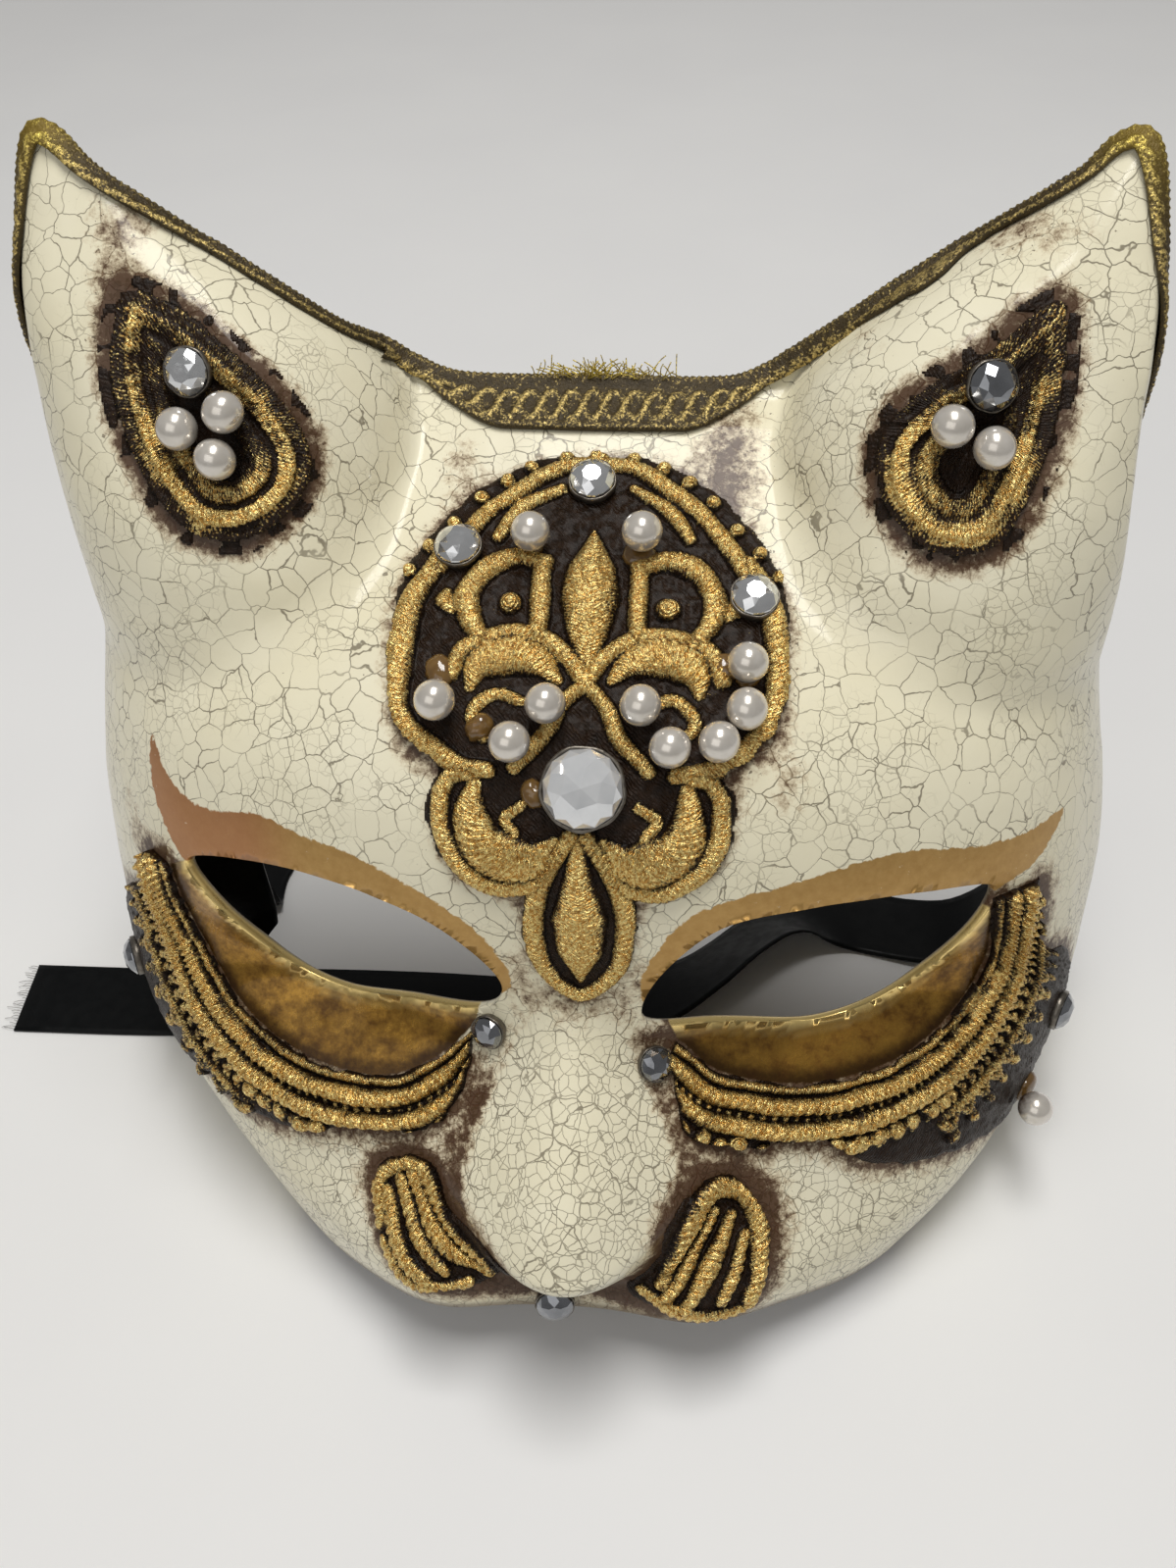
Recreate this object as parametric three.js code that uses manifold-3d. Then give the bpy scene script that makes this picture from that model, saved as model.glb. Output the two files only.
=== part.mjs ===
// Venetian cat half mask: moulded papier-mache shell, gold gimp edging, stuck-on gilt lace,
// glued crystals and pearls, and two black satin ribbons. Millimetres, +Z up.
// The shell is laid out in a worn frame (X to the wearer's left, Y towards the face, Z up).
// One group then leans it back on its lower edge, the way it stands on a table.
import * as THREE from 'three';
import { mergeVertices } from 'three/addons/utils/BufferGeometryUtils.js';
import Module from 'manifold-3d';

const wasm = await Module();
wasm.setup();
const { Manifold, Mesh: SolidMesh } = wasm;

// ---- driving dimensions (mm, degrees) ----
const LEAN = THREE.MathUtils.degToRad(22);
const TABLE_DROP = 14.2;
const CENTRE_Y = 11;
const WALL = 1.9;
const FOOT_TRIM = 1.2;
const FOOT_ARCH = 1.6;
const ROUNDNESS = 2.4;
const EAR_ROUNDNESS = 2.3;
const LACE_GAP = 0.3;
const LACE_THICK = 1.2;
const ON_LACE = LACE_GAP + LACE_THICK + 0.3;
const PEARL_R = 2.9;
const CRYSTAL_R = 3.3;
const SMALL_CRYSTAL_R = 2.6;
const BIG_CRYSTAL_R = 5.6;
const CRYSTAL_SIDES = 12;
const BRAID_GAP = 0.35;
const BRAID_THICK = 1.2;
const BRAID_LEG = 4.6;
const BRAID_LEG_AT_TIP = 2;
const BRAID_START_Z = 44;
const BRAID_PITCH = 6;
const RIBBON_W = 16;
const RIBBON_T = 0.5;
const RIBBON_CLEAR = 0.15;
const GIRTH_STEPS = 46;
const HEIGHT_STEPS = 28;
const BRAID_STEPS = 60;
const EYE_STEPS = 34;

// ---- finishes: colour, roughness, metalness ----
const FINISHES = {
  lacquer: [0xe6dcc0, 0.32, 0],
  gimp: [0x9c7d3a, 0.45, 0.6],
  gilt: [0x8a6526, 0.42, 0.7],
  crystal: [0xdde4ec, 0.06, 0],
  pearl: [0xf3eee4, 0.25, 0],
  satin: [0x111113, 0.4, 0],
};

// ---- relief on the plain face ----
const NOSE = { height: 17, top: 70, tip: 32, foot: 18, footRise: 6, underside: 12, bridge: 5, nostrils: 17,
  widenFrom: 68, widenTo: 28 };
const SOCKET = { depth: 8, x: 38, z: 59, halfWidth: 22, halfHeight: 9.5, rise: 0.12 };
const MUZZLE = { height: 5, x: 21, z: 19, halfWidth: 12, halfHeight: 10 };
const HOLLOW_TILT = THREE.MathUtils.degToRad(33.5);
const HOLLOW = { depth: 5, x: 57, z: 148, halfWidth: 9, halfLength: 16, tilt: HOLLOW_TILT };

// ---- the face, as rows of [height, value] ----
const HALF_WIDTH = [[0, 60], [10, 68], [27, 80], [45, 86], [60, 87.5], [80, 87], [100, 85], [125, 84],
  [150, 84.5], [187, 85]];
const BACK = [[0, 32], [45, 31], [70, 27], [95, 25], [120, 23], [147, 15], [160, 9], [187, -3]];
const MIDLINE = [[0, -38], [10, -44], [20, -45], [32, -41], [48, -37], [62, -36], [75, -38.5],
  [88, -40], [98, -38.5], [108, -33], [120, -22.5], [128, -14], [135, -6.5], [142, 0.5], [148, 6.5],
  [160, 1], [187, -6]];
const EAR_INNER = [[95, 8], [120, 19], [132, 24], [141, 26], [150, 31], [160, 42], [170, 55], [187, 73]];
const EAR_OUTER = [[95, 84], [120, 84], [141, 86], [160, 87], [170, 86], [187, 82]];
const EAR_BACK = [[95, 40], [120, 22], [141, 15], [160, 8], [187, -1]];
const EAR_FRONT = [[95, -5], [108, -21], [120, -24], [132, -24], [141, -23], [152, -21], [160, -18],
  [170, -13], [187, -7]];
// ---- rims, as rows of [girth angle, height] ----
const TOP_RIM = [[0, 147], [14, 147], [18, 148.5], [24, 154], [32, 162], [42, 170.5], [52, 177.5],
  [57, 181.3], [61, 181.3], [64, 175.5], [70, 157], [76, 139], [82, 122], [90, 105]];
const LOW_RIM = [[0, 14], [12, 14.5], [24, 13], [36, 11], [48, 9], [60, 7], [90, 0]];
// ---- eye holes, as points of [x, height] for a smooth closed line ----
const EYE_LEFT = [[-61, 79.5], [-49, 83.2], [-33, 82], [-19, 76], [-10.8, 66], [-12.5, 61.4], [-26, 58.4],
  [-38, 57.4], [-47.5, 61], [-57, 72.5]];
const EYE_RIGHT = [[62, 80], [51, 82], [34, 81.4], [20.5, 77.8], [11.4, 66.8], [10.4, 60.2], [21, 58],
  [36.5, 55.9], [48, 59.5], [56.4, 68.2]];
// ---- lace, as rows of [height, left x, right x] or edges of [x, height] ----
const CREST_ROWS = [[137.5, -6, 6], [135, -13, 13.5], [131, -19, 20], [126, -24, 25], [119, -26.8, 28.4],
  [112, -26.5, 28.6], [106, -25, 27.5], [101, -19, 22.5], [95, -19, 21.8], [90, -17.5, 20], [86, -15, 16],
  [82.5, -8, 9.5], [76, -6, 7.6], [70, -3.4, 4.6], [66.5, -1.2, 2]];
const EAR_DROP_LEFT = [[163, -65, -61], [158, -67, -54.5], [152, -66.8, -46.5], [146, -66, -40.5],
  [140, -64, -38.4], [134, -60.5, -40], [130, -56, -45]];
const EAR_DROP_RIGHT = [[163, 59.2, 63], [158, 52.9, 65], [152, 45.1, 64.8], [146, 39.3, 64],
  [140, 37.2, 62], [134, 38.8, 58.7], [130, 43.7, 54.3]];
const EYE_LACE_IN = [[15.5, 55.5], [20.5, 50.8], [28.5, 47.4], [38, 46.8], [47, 48.8], [55.5, 53.6],
  [61.5, 62.5], [65.5, 75]];
const EYE_LACE_OUT = [[14, 49], [18.5, 43.5], [28, 39.8], [41, 36.2], [55, 33], [68, 36.5], [80.5, 49],
  [80.5, 61]];
const SWIRL_LEFT = [[36, -28, -21.5], [32.5, -31, -18.5], [28, -31, -16], [23, -30.5, -11.5],
  [19.5, -27, -9]];
const SWIRL_RIGHT = [[36.5, 18, 24.5], [33, 15.8, 28.5], [28, 15, 31], [23, 13, 31], [18.5, 14, 29]];
// ---- stones: name, x, height on the face, radius, lift off the shell ----
const CRYSTALS = [
  ['crest_top', 0.2, 135.7, CRYSTAL_R, ON_LACE], ['crest_left', -18.6, 127.6, CRYSTAL_R, ON_LACE],
  ['crest_right', 24.2, 122.6, CRYSTAL_R, ON_LACE], ['crest_centre', 1.5, 100.2, BIG_CRYSTAL_R, 2.2],
  ['ear_left', -55.2, 151.8, CRYSTAL_R, 2.6], ['ear_right', 54.2, 151.8, CRYSTAL_R, 2.6],
  ['temple_left', -81, 48.5, CRYSTAL_R, 2.2], ['temple_right', 80.5, 46, CRYSTAL_R, 2.2],
  ['eye_left', -13.2, 57, SMALL_CRYSTAL_R, 1.2], ['eye_right', 12.4, 53.6, SMALL_CRYSTAL_R, 1.2],
  ['under_nose', -1.9, 16, 2.9, 1.6],
];
const CREST_PEARLS = [[-7.9, 130.4], [8, 130.7], [-19.3, 111], [-4, 111.2], [-8.6, 106.6], [9, 111.3],
  [13.2, 106.5], [19.8, 107.2], [23.4, 111], [23.4, 116.2]];
const EAR_PEARLS = [[-49.5, 147], [-56.3, 144.6], [-50.8, 140.8], [49, 147], [54.8, 144.2]];
const CHEEK_PEARL = [76, 32.5];
const CHEEK_PEARL_LIFT = 0.8;
// ---- ribbons on the table: rows of [x, y, z, then the direction the flat side faces] ----
const RIBBON_RIGHT = [
  [82, 39.7, 46, -1, 0, 0], [81, 39.7, 28, -1, 0, 0.05], [77, 40.2, 12, -0.85, 0, 0.5],
  [69, 41.2, 3.5, -0.4, 0, 0.9], [60, 43.2, 1, 0, 0, 1], [50, 45.2, 1, 0, 0, 1],
  [41, 44.2, 2.4, -0.2, 0.2, 1],
  [33, 39.7, 4.4, -0.4, 0.35, 0.85], [26, 33.2, 4.9, -0.45, 0.35, 0.82], [19, 26.7, 4.4, -0.35, 0.3, 0.88],
  [10, 21.7, 2.6, -0.15, 0.15, 1], [-1, 19.3, 1, 0, 0, 1], [-14, 18.7, 0.6, 0, 0, 1], [-35, 19, 0.5, 0, 0, 1],
  [-60, 18.5, 0.45, 0, 0, 1], [-88, 17, 0.45, 0, 0, 1], [-114.5, 16.5, 0.45, 0, 0, 1],
];
const RIBBON_LEFT = [
  [-73, 31.5, 46, 0, -1, 0], [-73.2, 31.8, 26, 0, -1, 0.05], [-73.6, 34, 9, 0, -0.8, 0.6],
  [-76, 41, 1.6, 0, -0.1, 1], [-76.5, 52, 0.6, 0, 0, 1], [-71, 66, 0.5, 0, 0, 1],
  [-57, 76, 0.5, 0, 0, 1],
  [-36, 81, 0.5, 0, 0, 1], [-12, 82, 0.5, 0, 0, 1], [14, 79, 0.5, 0, 0, 1], [40, 77, 0.5, 0, 0, 1],
  [64, 81, 0.5, 0, 0, 1],
];

// ---- small helpers ----
function clamp(t, low, high) {
  return Math.min(high, Math.max(low, t));
}

function step(x, from, to) {
  const t = clamp((x - from) / (to - from), 0, 1);
  return t * t * (3 - 2 * t);
}

function bell(x, width) {
  return Math.exp(-((x / width) ** 2));
}

// Smooth curve through rows of [position, value].
function along(rows, at) {
  const x = clamp(at, rows[0][0], rows[rows.length - 1][0]);
  let i = 0;
  while (i < rows.length - 2 && x > rows[i + 1][0]) i += 1;
  const slope = (k) => {
    const a = rows[Math.max(0, k - 1)];
    const b = rows[Math.min(rows.length - 1, k + 1)];
    return (b[1] - a[1]) / (b[0] - a[0]);
  };
  const h = rows[i + 1][0] - rows[i][0];
  const t = (x - rows[i][0]) / h;
  const value = (2 * t ** 3 - 3 * t ** 2 + 1) * rows[i][1] + (3 * t ** 2 - 2 * t ** 3) * rows[i + 1][1];
  return value + (t ** 3 - 2 * t ** 2 + t) * h * slope(i) + (t ** 3 - t ** 2) * h * slope(i + 1);
}

function softMin(a, b, blend) {
  const h = clamp(0.5 + (0.5 * (b - a)) / blend, 0, 1);
  return b * (1 - h) + a * h - blend * h * (1 - h);
}

// ---- outer surface of the shell ----
// The girth section is a superellipse. The wearer's left side is a little slimmer above the eyes and
// the wearer's right jaw a little narrower.
function across(angle, z) {
  const s = Math.sin(angle);
  const c = Math.cos(angle);
  const r = (Math.abs(s) ** ROUNDNESS + Math.abs(c) ** ROUNDNESS) ** (-1 / ROUNDNESS);
  const jaw = 1 - 0.11 * (1 - step(z, 12, 46));
  const slim = s > 0 ? 1 - 0.03 * step(z, 70, 120) - 0.035 * step(z, 115, 150) : jaw;
  return { x: along(HALF_WIDTH, z) * r * s * slim, reach: r * c };
}

// Front of an ear: a rounded ridge between its inner and outer edge, and far behind outside them.
function earFront(x, z) {
  const inner = along(EAR_INNER, z);
  const outer = along(EAR_OUTER, z);
  const back = along(EAR_BACK, z);
  const t = Math.abs((Math.abs(x) - (inner + outer) / 2) / ((outer - inner) / 2));
  const round = clamp(1 - t ** EAR_ROUNDNESS, 0, 1) ** (1 / EAR_ROUNDNESS);
  const outside = Math.max(0, t - 1) * 60 + (z < 100 ? 40 : 0);
  return back - (back - along(EAR_FRONT, z)) * round + outside;
}

// How far nose, eye sockets, muzzle and ear hollows stand off the plain face.
function relief(x, z) {
  const ax = Math.abs(x);
  const noseWidth = NOSE.bridge + (NOSE.nostrils - NOSE.bridge) * step(z, NOSE.widenFrom, NOSE.widenTo);
  const foot = NOSE.foot + NOSE.footRise * (ax / NOSE.nostrils) ** 2;
  const noseRun = step(z, NOSE.top, NOSE.tip) * step(z, foot, foot + NOSE.underside);
  const nose = NOSE.height * noseRun * Math.exp(-((ax / noseWidth) ** 2.2));
  const socketZ = SOCKET.z + SOCKET.rise * (ax - SOCKET.x);
  const socket = SOCKET.depth * bell(ax - SOCKET.x, SOCKET.halfWidth) * bell(z - socketZ, SOCKET.halfHeight);
  const muzzleRound = bell(ax - MUZZLE.x, MUZZLE.halfWidth);
  const muzzle = MUZZLE.height * muzzleRound * bell(z - MUZZLE.z, MUZZLE.halfHeight);
  const side = (ax - HOLLOW.x) * Math.cos(HOLLOW.tilt) - (z - HOLLOW.z) * Math.sin(HOLLOW.tilt);
  const length = (ax - HOLLOW.x) * Math.sin(HOLLOW.tilt) + (z - HOLLOW.z) * Math.cos(HOLLOW.tilt);
  const hollow = HOLLOW.depth * bell(side, HOLLOW.halfWidth) * bell(length, HOLLOW.halfLength);
  return nose - socket + muzzle - hollow;
}

// Point of the outer surface at a girth angle and a height.
function face(angle, z) {
  const { x, reach } = across(angle, z);
  const back = along(BACK, z);
  const plain = back - (back - along(MIDLINE, z)) * reach;
  const fade = 1 - step(Math.abs(THREE.MathUtils.radToDeg(angle)), 66, 84);
  const ears = softMin(plain, earFront(x, z), 5);
  return new THREE.Vector3(x, plain + (ears - plain - relief(x, z)) * fade, z);
}

function faceNormal(angle, z) {
  const turn = 0.004;
  const rise = 0.4;
  const girthwise = face(angle + turn, z).sub(face(angle - turn, z));
  const upwards = face(angle, z + rise).sub(face(angle, z - rise));
  return girthwise.cross(upwards).normalize();
}

// Inner face: pulled in along a direction that turns smoothly from front to side.
function innerPoint(angle, z) {
  const n = new THREE.Vector3();
  for (const turn of [-0.05, 0, 0.05]) {
    for (const rise of [-3, 0, 3]) n.add(faceNormal(angle + turn, z + rise));
  }
  n.z *= 0.6;
  return face(angle, z).addScaledVector(n.normalize(), -WALL);
}

// Girth angle of the surface point that is seen from the front at x.
function girthAt(x, z) {
  let low = -Math.PI / 2;
  let high = Math.PI / 2;
  for (let i = 0; i < 40; i += 1) {
    const mid = (low + high) / 2;
    if (across(mid, z).x < x) low = mid;
    else high = mid;
  }
  return (low + high) / 2;
}

function onFace(x, z, lift) {
  const angle = girthAt(x, z);
  return face(angle, z).addScaledVector(faceNormal(angle, z), lift);
}

// Point that stands off the shell by a height and is seen from the front at x and z.
function seatAt(x, z, height) {
  const angle = girthAt(x, z);
  const normal = faceNormal(angle, z);
  const centre = face(angle, z);
  centre.y -= height / Math.max(0.35, -normal.y);
  return { centre, normal };
}

// ---- rims ----
function topRim(angle) {
  return along(TOP_RIM, Math.abs(THREE.MathUtils.radToDeg(angle)));
}

// Height on the face that comes out at a lift over the table once the mask leans back.
function tableHeight(angle, lift) {
  let z = LOW_RIM[0][1];
  for (let i = 0; i < 40; i += 1) {
    const y = face(angle, z).y;
    z = 0.5 * z + 0.5 * ((TABLE_DROP + lift + y * Math.sin(LEAN)) / Math.cos(LEAN));
  }
  return z;
}

// The lower edge runs a little into the table under the cheeks and at the rear corners, to be
// trimmed flat. A shallow arch between them lets the ribbon out.
function lowRim(angle) {
  const deg = Math.abs(THREE.MathUtils.radToDeg(angle));
  const arch = (FOOT_ARCH + FOOT_TRIM) * step(deg, 60, 68) * (1 - step(deg, 87, 89.5));
  return Math.max(along(LOW_RIM, deg), tableHeight(angle, arch - FOOT_TRIM));
}

// ---- meshes and solids ----
function named(name, geometry, finish) {
  const [color, roughness, metalness] = FINISHES[finish];
  const mesh = new THREE.Mesh(geometry, new THREE.MeshStandardMaterial({ color, roughness, metalness }));
  mesh.name = name;
  return mesh;
}

function geometryOf({ points, faces }) {
  const geometry = new THREE.BufferGeometry().setFromPoints(points);
  geometry.setIndex(faces);
  return geometry;
}

function solidOf(geometry) {
  const bare = geometry.clone();
  bare.deleteAttribute('normal');
  bare.deleteAttribute('uv');
  const merged = mergeVertices(bare, 1e-5);
  const triVerts = new Uint32Array(merged.index.array);
  const vertProperties = merged.attributes.position.array;
  return new Manifold(new SolidMesh({ numProp: 3, vertProperties, triVerts }));
}

function geometryFrom(solid) {
  const { vertProperties, numProp, triVerts } = solid.getMesh();
  const points = [];
  for (let i = 0; i < vertProperties.length; i += numProp) {
    points.push(new THREE.Vector3(...vertProperties.slice(i, i + 3)));
  }
  return geometryOf({ points, faces: [...triVerts] });
}

function largest(solid) {
  return solid.decompose().sort((a, b) => b.volume() - a.volume())[0];
}

function signedVolume(points, faces) {
  let volume = 0;
  for (let i = 0; i < faces.length; i += 3) {
    const [a, b, c] = [points[faces[i]], points[faces[i + 1]], points[faces[i + 2]]];
    volume += a.dot(b.clone().cross(c)) / 6;
  }
  return volume;
}

// The same surface with its faces pointing out.
function outward({ points, faces }) {
  if (signedVolume(points, faces) > 0) return { points, faces };
  const turned = [];
  for (let i = 0; i < faces.length; i += 3) turned.push(faces[i], faces[i + 2], faces[i + 1]);
  return { points, faces: turned };
}

// Closed slab between two grids of points. Grids are [column][row], outer first.
function slab(outer, inner) {
  const columns = outer.length;
  const rows = outer[0].length;
  const faces = [];
  const at = (i, j, layer) => (layer * columns + i) * rows + j;
  const quad = (a, b, c, d) => faces.push(a, b, c, a, c, d);
  for (let i = 0; i < columns - 1; i += 1) {
    for (let j = 0; j < rows - 1; j += 1) {
      quad(at(i, j, 0), at(i + 1, j, 0), at(i + 1, j + 1, 0), at(i, j + 1, 0));
      quad(at(i, j, 1), at(i, j + 1, 1), at(i + 1, j + 1, 1), at(i + 1, j, 1));
    }
    quad(at(i, 0, 0), at(i, 0, 1), at(i + 1, 0, 1), at(i + 1, 0, 0));
    quad(at(i, rows - 1, 0), at(i + 1, rows - 1, 0), at(i + 1, rows - 1, 1), at(i, rows - 1, 1));
  }
  const last = columns - 1;
  for (let j = 0; j < rows - 1; j += 1) {
    quad(at(0, j, 0), at(0, j + 1, 0), at(0, j + 1, 1), at(0, j, 1));
    quad(at(last, j, 0), at(last, j, 1), at(last, j + 1, 1), at(last, j + 1, 0));
  }
  return { points: [...outer.flat(), ...inner.flat()], faces };
}

// Closed solid through rings of points, each ring in the same order.
function sweep(rings) {
  const sides = rings[0].length;
  const faces = [];
  for (let i = 0; i < rings.length - 1; i += 1) {
    for (let k = 0; k < sides; k += 1) {
      const a = i * sides + k;
      const b = i * sides + ((k + 1) % sides);
      faces.push(a, a + sides, b + sides, a, b + sides, b);
    }
  }
  const last = (rings.length - 1) * sides;
  for (const [a, b, c] of THREE.ShapeUtils.triangulateShape(flattened(rings[0]), [])) {
    faces.push(a, b, c, last + a, last + c, last + b);
  }
  return outward({ points: rings.flat(), faces });
}

// A flat ring of points, drawn in its own plane.
function flattened(ring) {
  const u = ring[1].clone().sub(ring[0]).normalize();
  const w = ring[3].clone().sub(ring[0]);
  const v = w.addScaledVector(u, -w.dot(u)).normalize();
  return ring.map((p) => {
    const arm = p.clone().sub(ring[0]);
    return new THREE.Vector2(arm.dot(u), arm.dot(v));
  });
}

// ---- shell ----
// The shell's wall, grown all round by a margin.
function wallSolid(margin) {
  const outer = [];
  const inner = [];
  const span = 90 + margin * 1.2;
  for (let i = 0; i <= GIRTH_STEPS; i += 1) {
    const angle = THREE.MathUtils.degToRad(-span + (2 * span * i) / GIRTH_STEPS);
    const low = lowRim(angle) - margin;
    const high = topRim(angle) + margin;
    outer.push([]);
    inner.push([]);
    for (let j = 0; j <= HEIGHT_STEPS; j += 1) {
      const z = low + ((high - low) * j) / HEIGHT_STEPS;
      const p = face(angle, z);
      const q = innerPoint(angle, z);
      const n = p.clone().sub(q).normalize();
      outer[i].push(p.addScaledVector(n, margin));
      inner[i].push(q.addScaledVector(n, -margin));
    }
  }
  return solidOf(geometryOf(slab(outer, inner)));
}

// Cutter for an eye hole: its outline, standing up and run through the face along Y.
function eyeCutter(outline) {
  const knots = outline.map(([x, z]) => new THREE.Vector3(x, z, 0));
  const line = new THREE.CatmullRomCurve3(knots, true, 'centripetal');
  const shape = new THREE.Shape(line.getPoints(EYE_STEPS).slice(1));
  const cutter = new THREE.ExtrudeGeometry(shape, { depth: 90, steps: 1, bevelEnabled: false });
  return solidOf(cutter.rotateX(Math.PI / 2).translate(0, 20, 0));
}

function buildShell() {
  const holed = wallSolid(0).subtract(eyeCutter(EYE_LEFT)).subtract(eyeCutter(EYE_RIGHT));
  const up = [0, -Math.sin(LEAN), Math.cos(LEAN)];
  const standing = holed.trimByPlane(up, TABLE_DROP);
  return named('mask_shell', geometryFrom(largest(standing)), 'lacquer');
}

// ---- edging ----
// Gimp braid folded over the top and side rims, from one lower temple to the other.
function rimPath() {
  const side = [];
  for (let z = BRAID_START_Z; z < TOP_RIM[TOP_RIM.length - 1][1]; z += BRAID_PITCH) side.push(z);
  const path = side.map((z) => [-90, z]);
  for (let i = 0; i <= BRAID_STEPS; i += 1) {
    const deg = -90 + (180 * i) / BRAID_STEPS;
    path.push([deg, topRim(THREE.MathUtils.degToRad(deg))]);
  }
  return [...path, ...side.reverse().map((z) => [90, z])];
}

function braidSection(before, here, after) {
  const angle = THREE.MathUtils.degToRad(here[0]);
  const edge = face(angle, here[1]);
  const inner = innerPoint(angle, here[1]);
  const rim = (at) => face(THREE.MathUtils.degToRad(at[0]), at[1]);
  const out = edge.clone().sub(inner).normalize();
  const run = rim(after).sub(rim(before)).normalize();
  const away = out.clone().cross(run).normalize();
  const mid = edge.clone().add(inner).multiplyScalar(0.5);
  const half = edge.distanceTo(inner) / 2 + BRAID_GAP;
  const skin = half + BRAID_THICK;
  const crown = BRAID_THICK + 0.9;
  const leg = BRAID_LEG - (BRAID_LEG - BRAID_LEG_AT_TIP) * bell(Math.abs(here[0]) - 59, 7);
  const at = (a, n) => mid.clone().addScaledVector(away, a).addScaledVector(out, n);
  return [
    at(-leg, half + 0.25), at(-leg, skin + 0.25), at(-leg / 2, skin + 0.15), at(0.4, skin),
    at(crown, half * 0.6), at(crown, -half * 0.6), at(0.4, -skin), at(-leg, -skin - 0.2),
    at(-leg, -half - 0.2), at(BRAID_GAP, -half), at(BRAID_GAP, half),
  ];
}

// The fold is cleared of the shell's wall, and of that wall moved a little each way.
function buildBraid() {
  const path = rimPath();
  const rings = path.map((here, i) => {
    const before = path[Math.max(0, i - 1)];
    const after = path[Math.min(path.length - 1, i + 1)];
    return braidSection(before, here, after);
  });
  const wall = wallSolid(0);
  const ways = [[0.1, 0, 0], [-0.1, 0, 0], [0, 0.1, 0], [0, -0.1, 0], [0, 0, 0.1], [0, 0, -0.1]];
  let band = solidOf(geometryOf(sweep(rings))).subtract(wallSolid(BRAID_GAP));
  for (const way of ways) band = band.subtract(wall.translate(way));
  return named('edge_braid', geometryFrom(largest(band).simplify(0.04)), 'gimp');
}

// ---- lace ----
// Lace laid on the shell over columns of [x, height], trimmed so a small gap is left under it.
function lace(name, columns) {
  const layer = (lift) => columns.map((column) => column.map(([x, z]) => onFace(x, z, lift)));
  const sheet = outward(slab(layer(LACE_GAP + LACE_THICK), layer(LACE_GAP)));
  const trimmed = solidOf(geometryOf(sheet)).subtract(wallSolid(LACE_GAP / 2));
  return named(name, geometryFrom(largest(trimmed)), 'gilt');
}

function lacePatch(name, rows, steps) {
  const columns = [];
  for (let i = 0; i <= steps; i += 1) {
    columns.push(rows.map(([z, left, right]) => [left + ((right - left) * i) / steps, z]));
  }
  return lace(name, columns);
}

function laceBand(name, side, steps) {
  const columns = EYE_LACE_IN.map(([x0, z0], i) => {
    const [x1, z1] = EYE_LACE_OUT[i];
    const column = [];
    for (let k = 0; k <= steps; k += 1) {
      column.push([side * (x0 + ((x1 - x0) * k) / steps), z0 + ((z1 - z0) * k) / steps]);
    }
    return column;
  });
  return lace(name, columns);
}

// ---- stones ----
// Cut stone with its girdle low and a flat table on top.
function crystal(name, x, z, radius, lift) {
  const { centre, normal } = seatAt(x, z, lift);
  const outline = [[0, 0], [0.9, 0], [1, 0.22], [0.82, 0.5], [0.45, 0.68], [0, 0.68]];
  const profile = outline.map(([r, h]) => new THREE.Vector2(r * radius, h * radius));
  const mesh = named(name, new THREE.LatheGeometry(profile, CRYSTAL_SIDES), 'crystal');
  mesh.quaternion.setFromUnitVectors(new THREE.Vector3(0, 1, 0), normal);
  mesh.position.copy(centre);
  return mesh;
}

function pearl(name, x, z, lift) {
  const mesh = named(name, new THREE.IcosahedronGeometry(PEARL_R, 1), 'pearl');
  mesh.position.copy(seatAt(x, z, lift + PEARL_R).centre);
  return mesh;
}

// ---- ribbons ----
// Flat cord along a smooth route, lifted where a tilted stretch would dip into the table.
function ribbon(name, rows, steps) {
  const curve = (first) => {
    const knots = rows.map((row) => new THREE.Vector3(...row.slice(first, first + 3)));
    return new THREE.CatmullRomCurve3(knots, false, 'centripetal');
  };
  const route = curve(0);
  const facing = curve(3);
  const rings = [];
  for (let i = 0; i <= steps; i += 1) {
    const p = route.getPoint(i / steps);
    const tangent = route.getTangent(i / steps);
    const n = facing.getPoint(i / steps);
    n.addScaledVector(tangent, -n.dot(tangent)).normalize();
    const side = tangent.clone().cross(n);
    const droop = (Math.abs(side.z) * RIBBON_W + Math.abs(n.z) * RIBBON_T) / 2;
    p.z = Math.max(p.z, droop + RIBBON_CLEAR);
    const halfSide = side.multiplyScalar(RIBBON_W / 2);
    const halfFace = n.multiplyScalar(RIBBON_T / 2);
    const corner = (a, b) => p.clone().addScaledVector(halfSide, a).addScaledVector(halfFace, b);
    rings.push([corner(-1, -1), corner(1, -1), corner(1, 1), corner(-1, 1)]);
  }
  return named(name, geometryOf(sweep(rings)), 'satin');
}

// ---- assembly ----
const mask = new THREE.Group();
mask.rotation.x = -LEAN;
mask.position.set(0, -CENTRE_Y, -TABLE_DROP);
mask.add(buildShell());
mask.add(buildBraid());
mask.add(lacePatch('crest_lace', CREST_ROWS, 8));
mask.add(lacePatch('ear_lace_left', EAR_DROP_LEFT, 5));
mask.add(lacePatch('ear_lace_right', EAR_DROP_RIGHT, 5));
mask.add(laceBand('eye_lace_left', -1, 4));
mask.add(laceBand('eye_lace_right', 1, 4));
mask.add(lacePatch('muzzle_lace_left', SWIRL_LEFT, 4));
mask.add(lacePatch('muzzle_lace_right', SWIRL_RIGHT, 4));
for (const [place, x, z, radius, lift] of CRYSTALS) mask.add(crystal(`crystal_${place}`, x, z, radius, lift));
CREST_PEARLS.forEach(([x, z], i) => mask.add(pearl(`pearl_crest_${i + 1}`, x, z, ON_LACE)));
EAR_PEARLS.forEach(([x, z], i) => mask.add(pearl(`pearl_ear_${i + 1}`, x, z, ON_LACE)));
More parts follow.
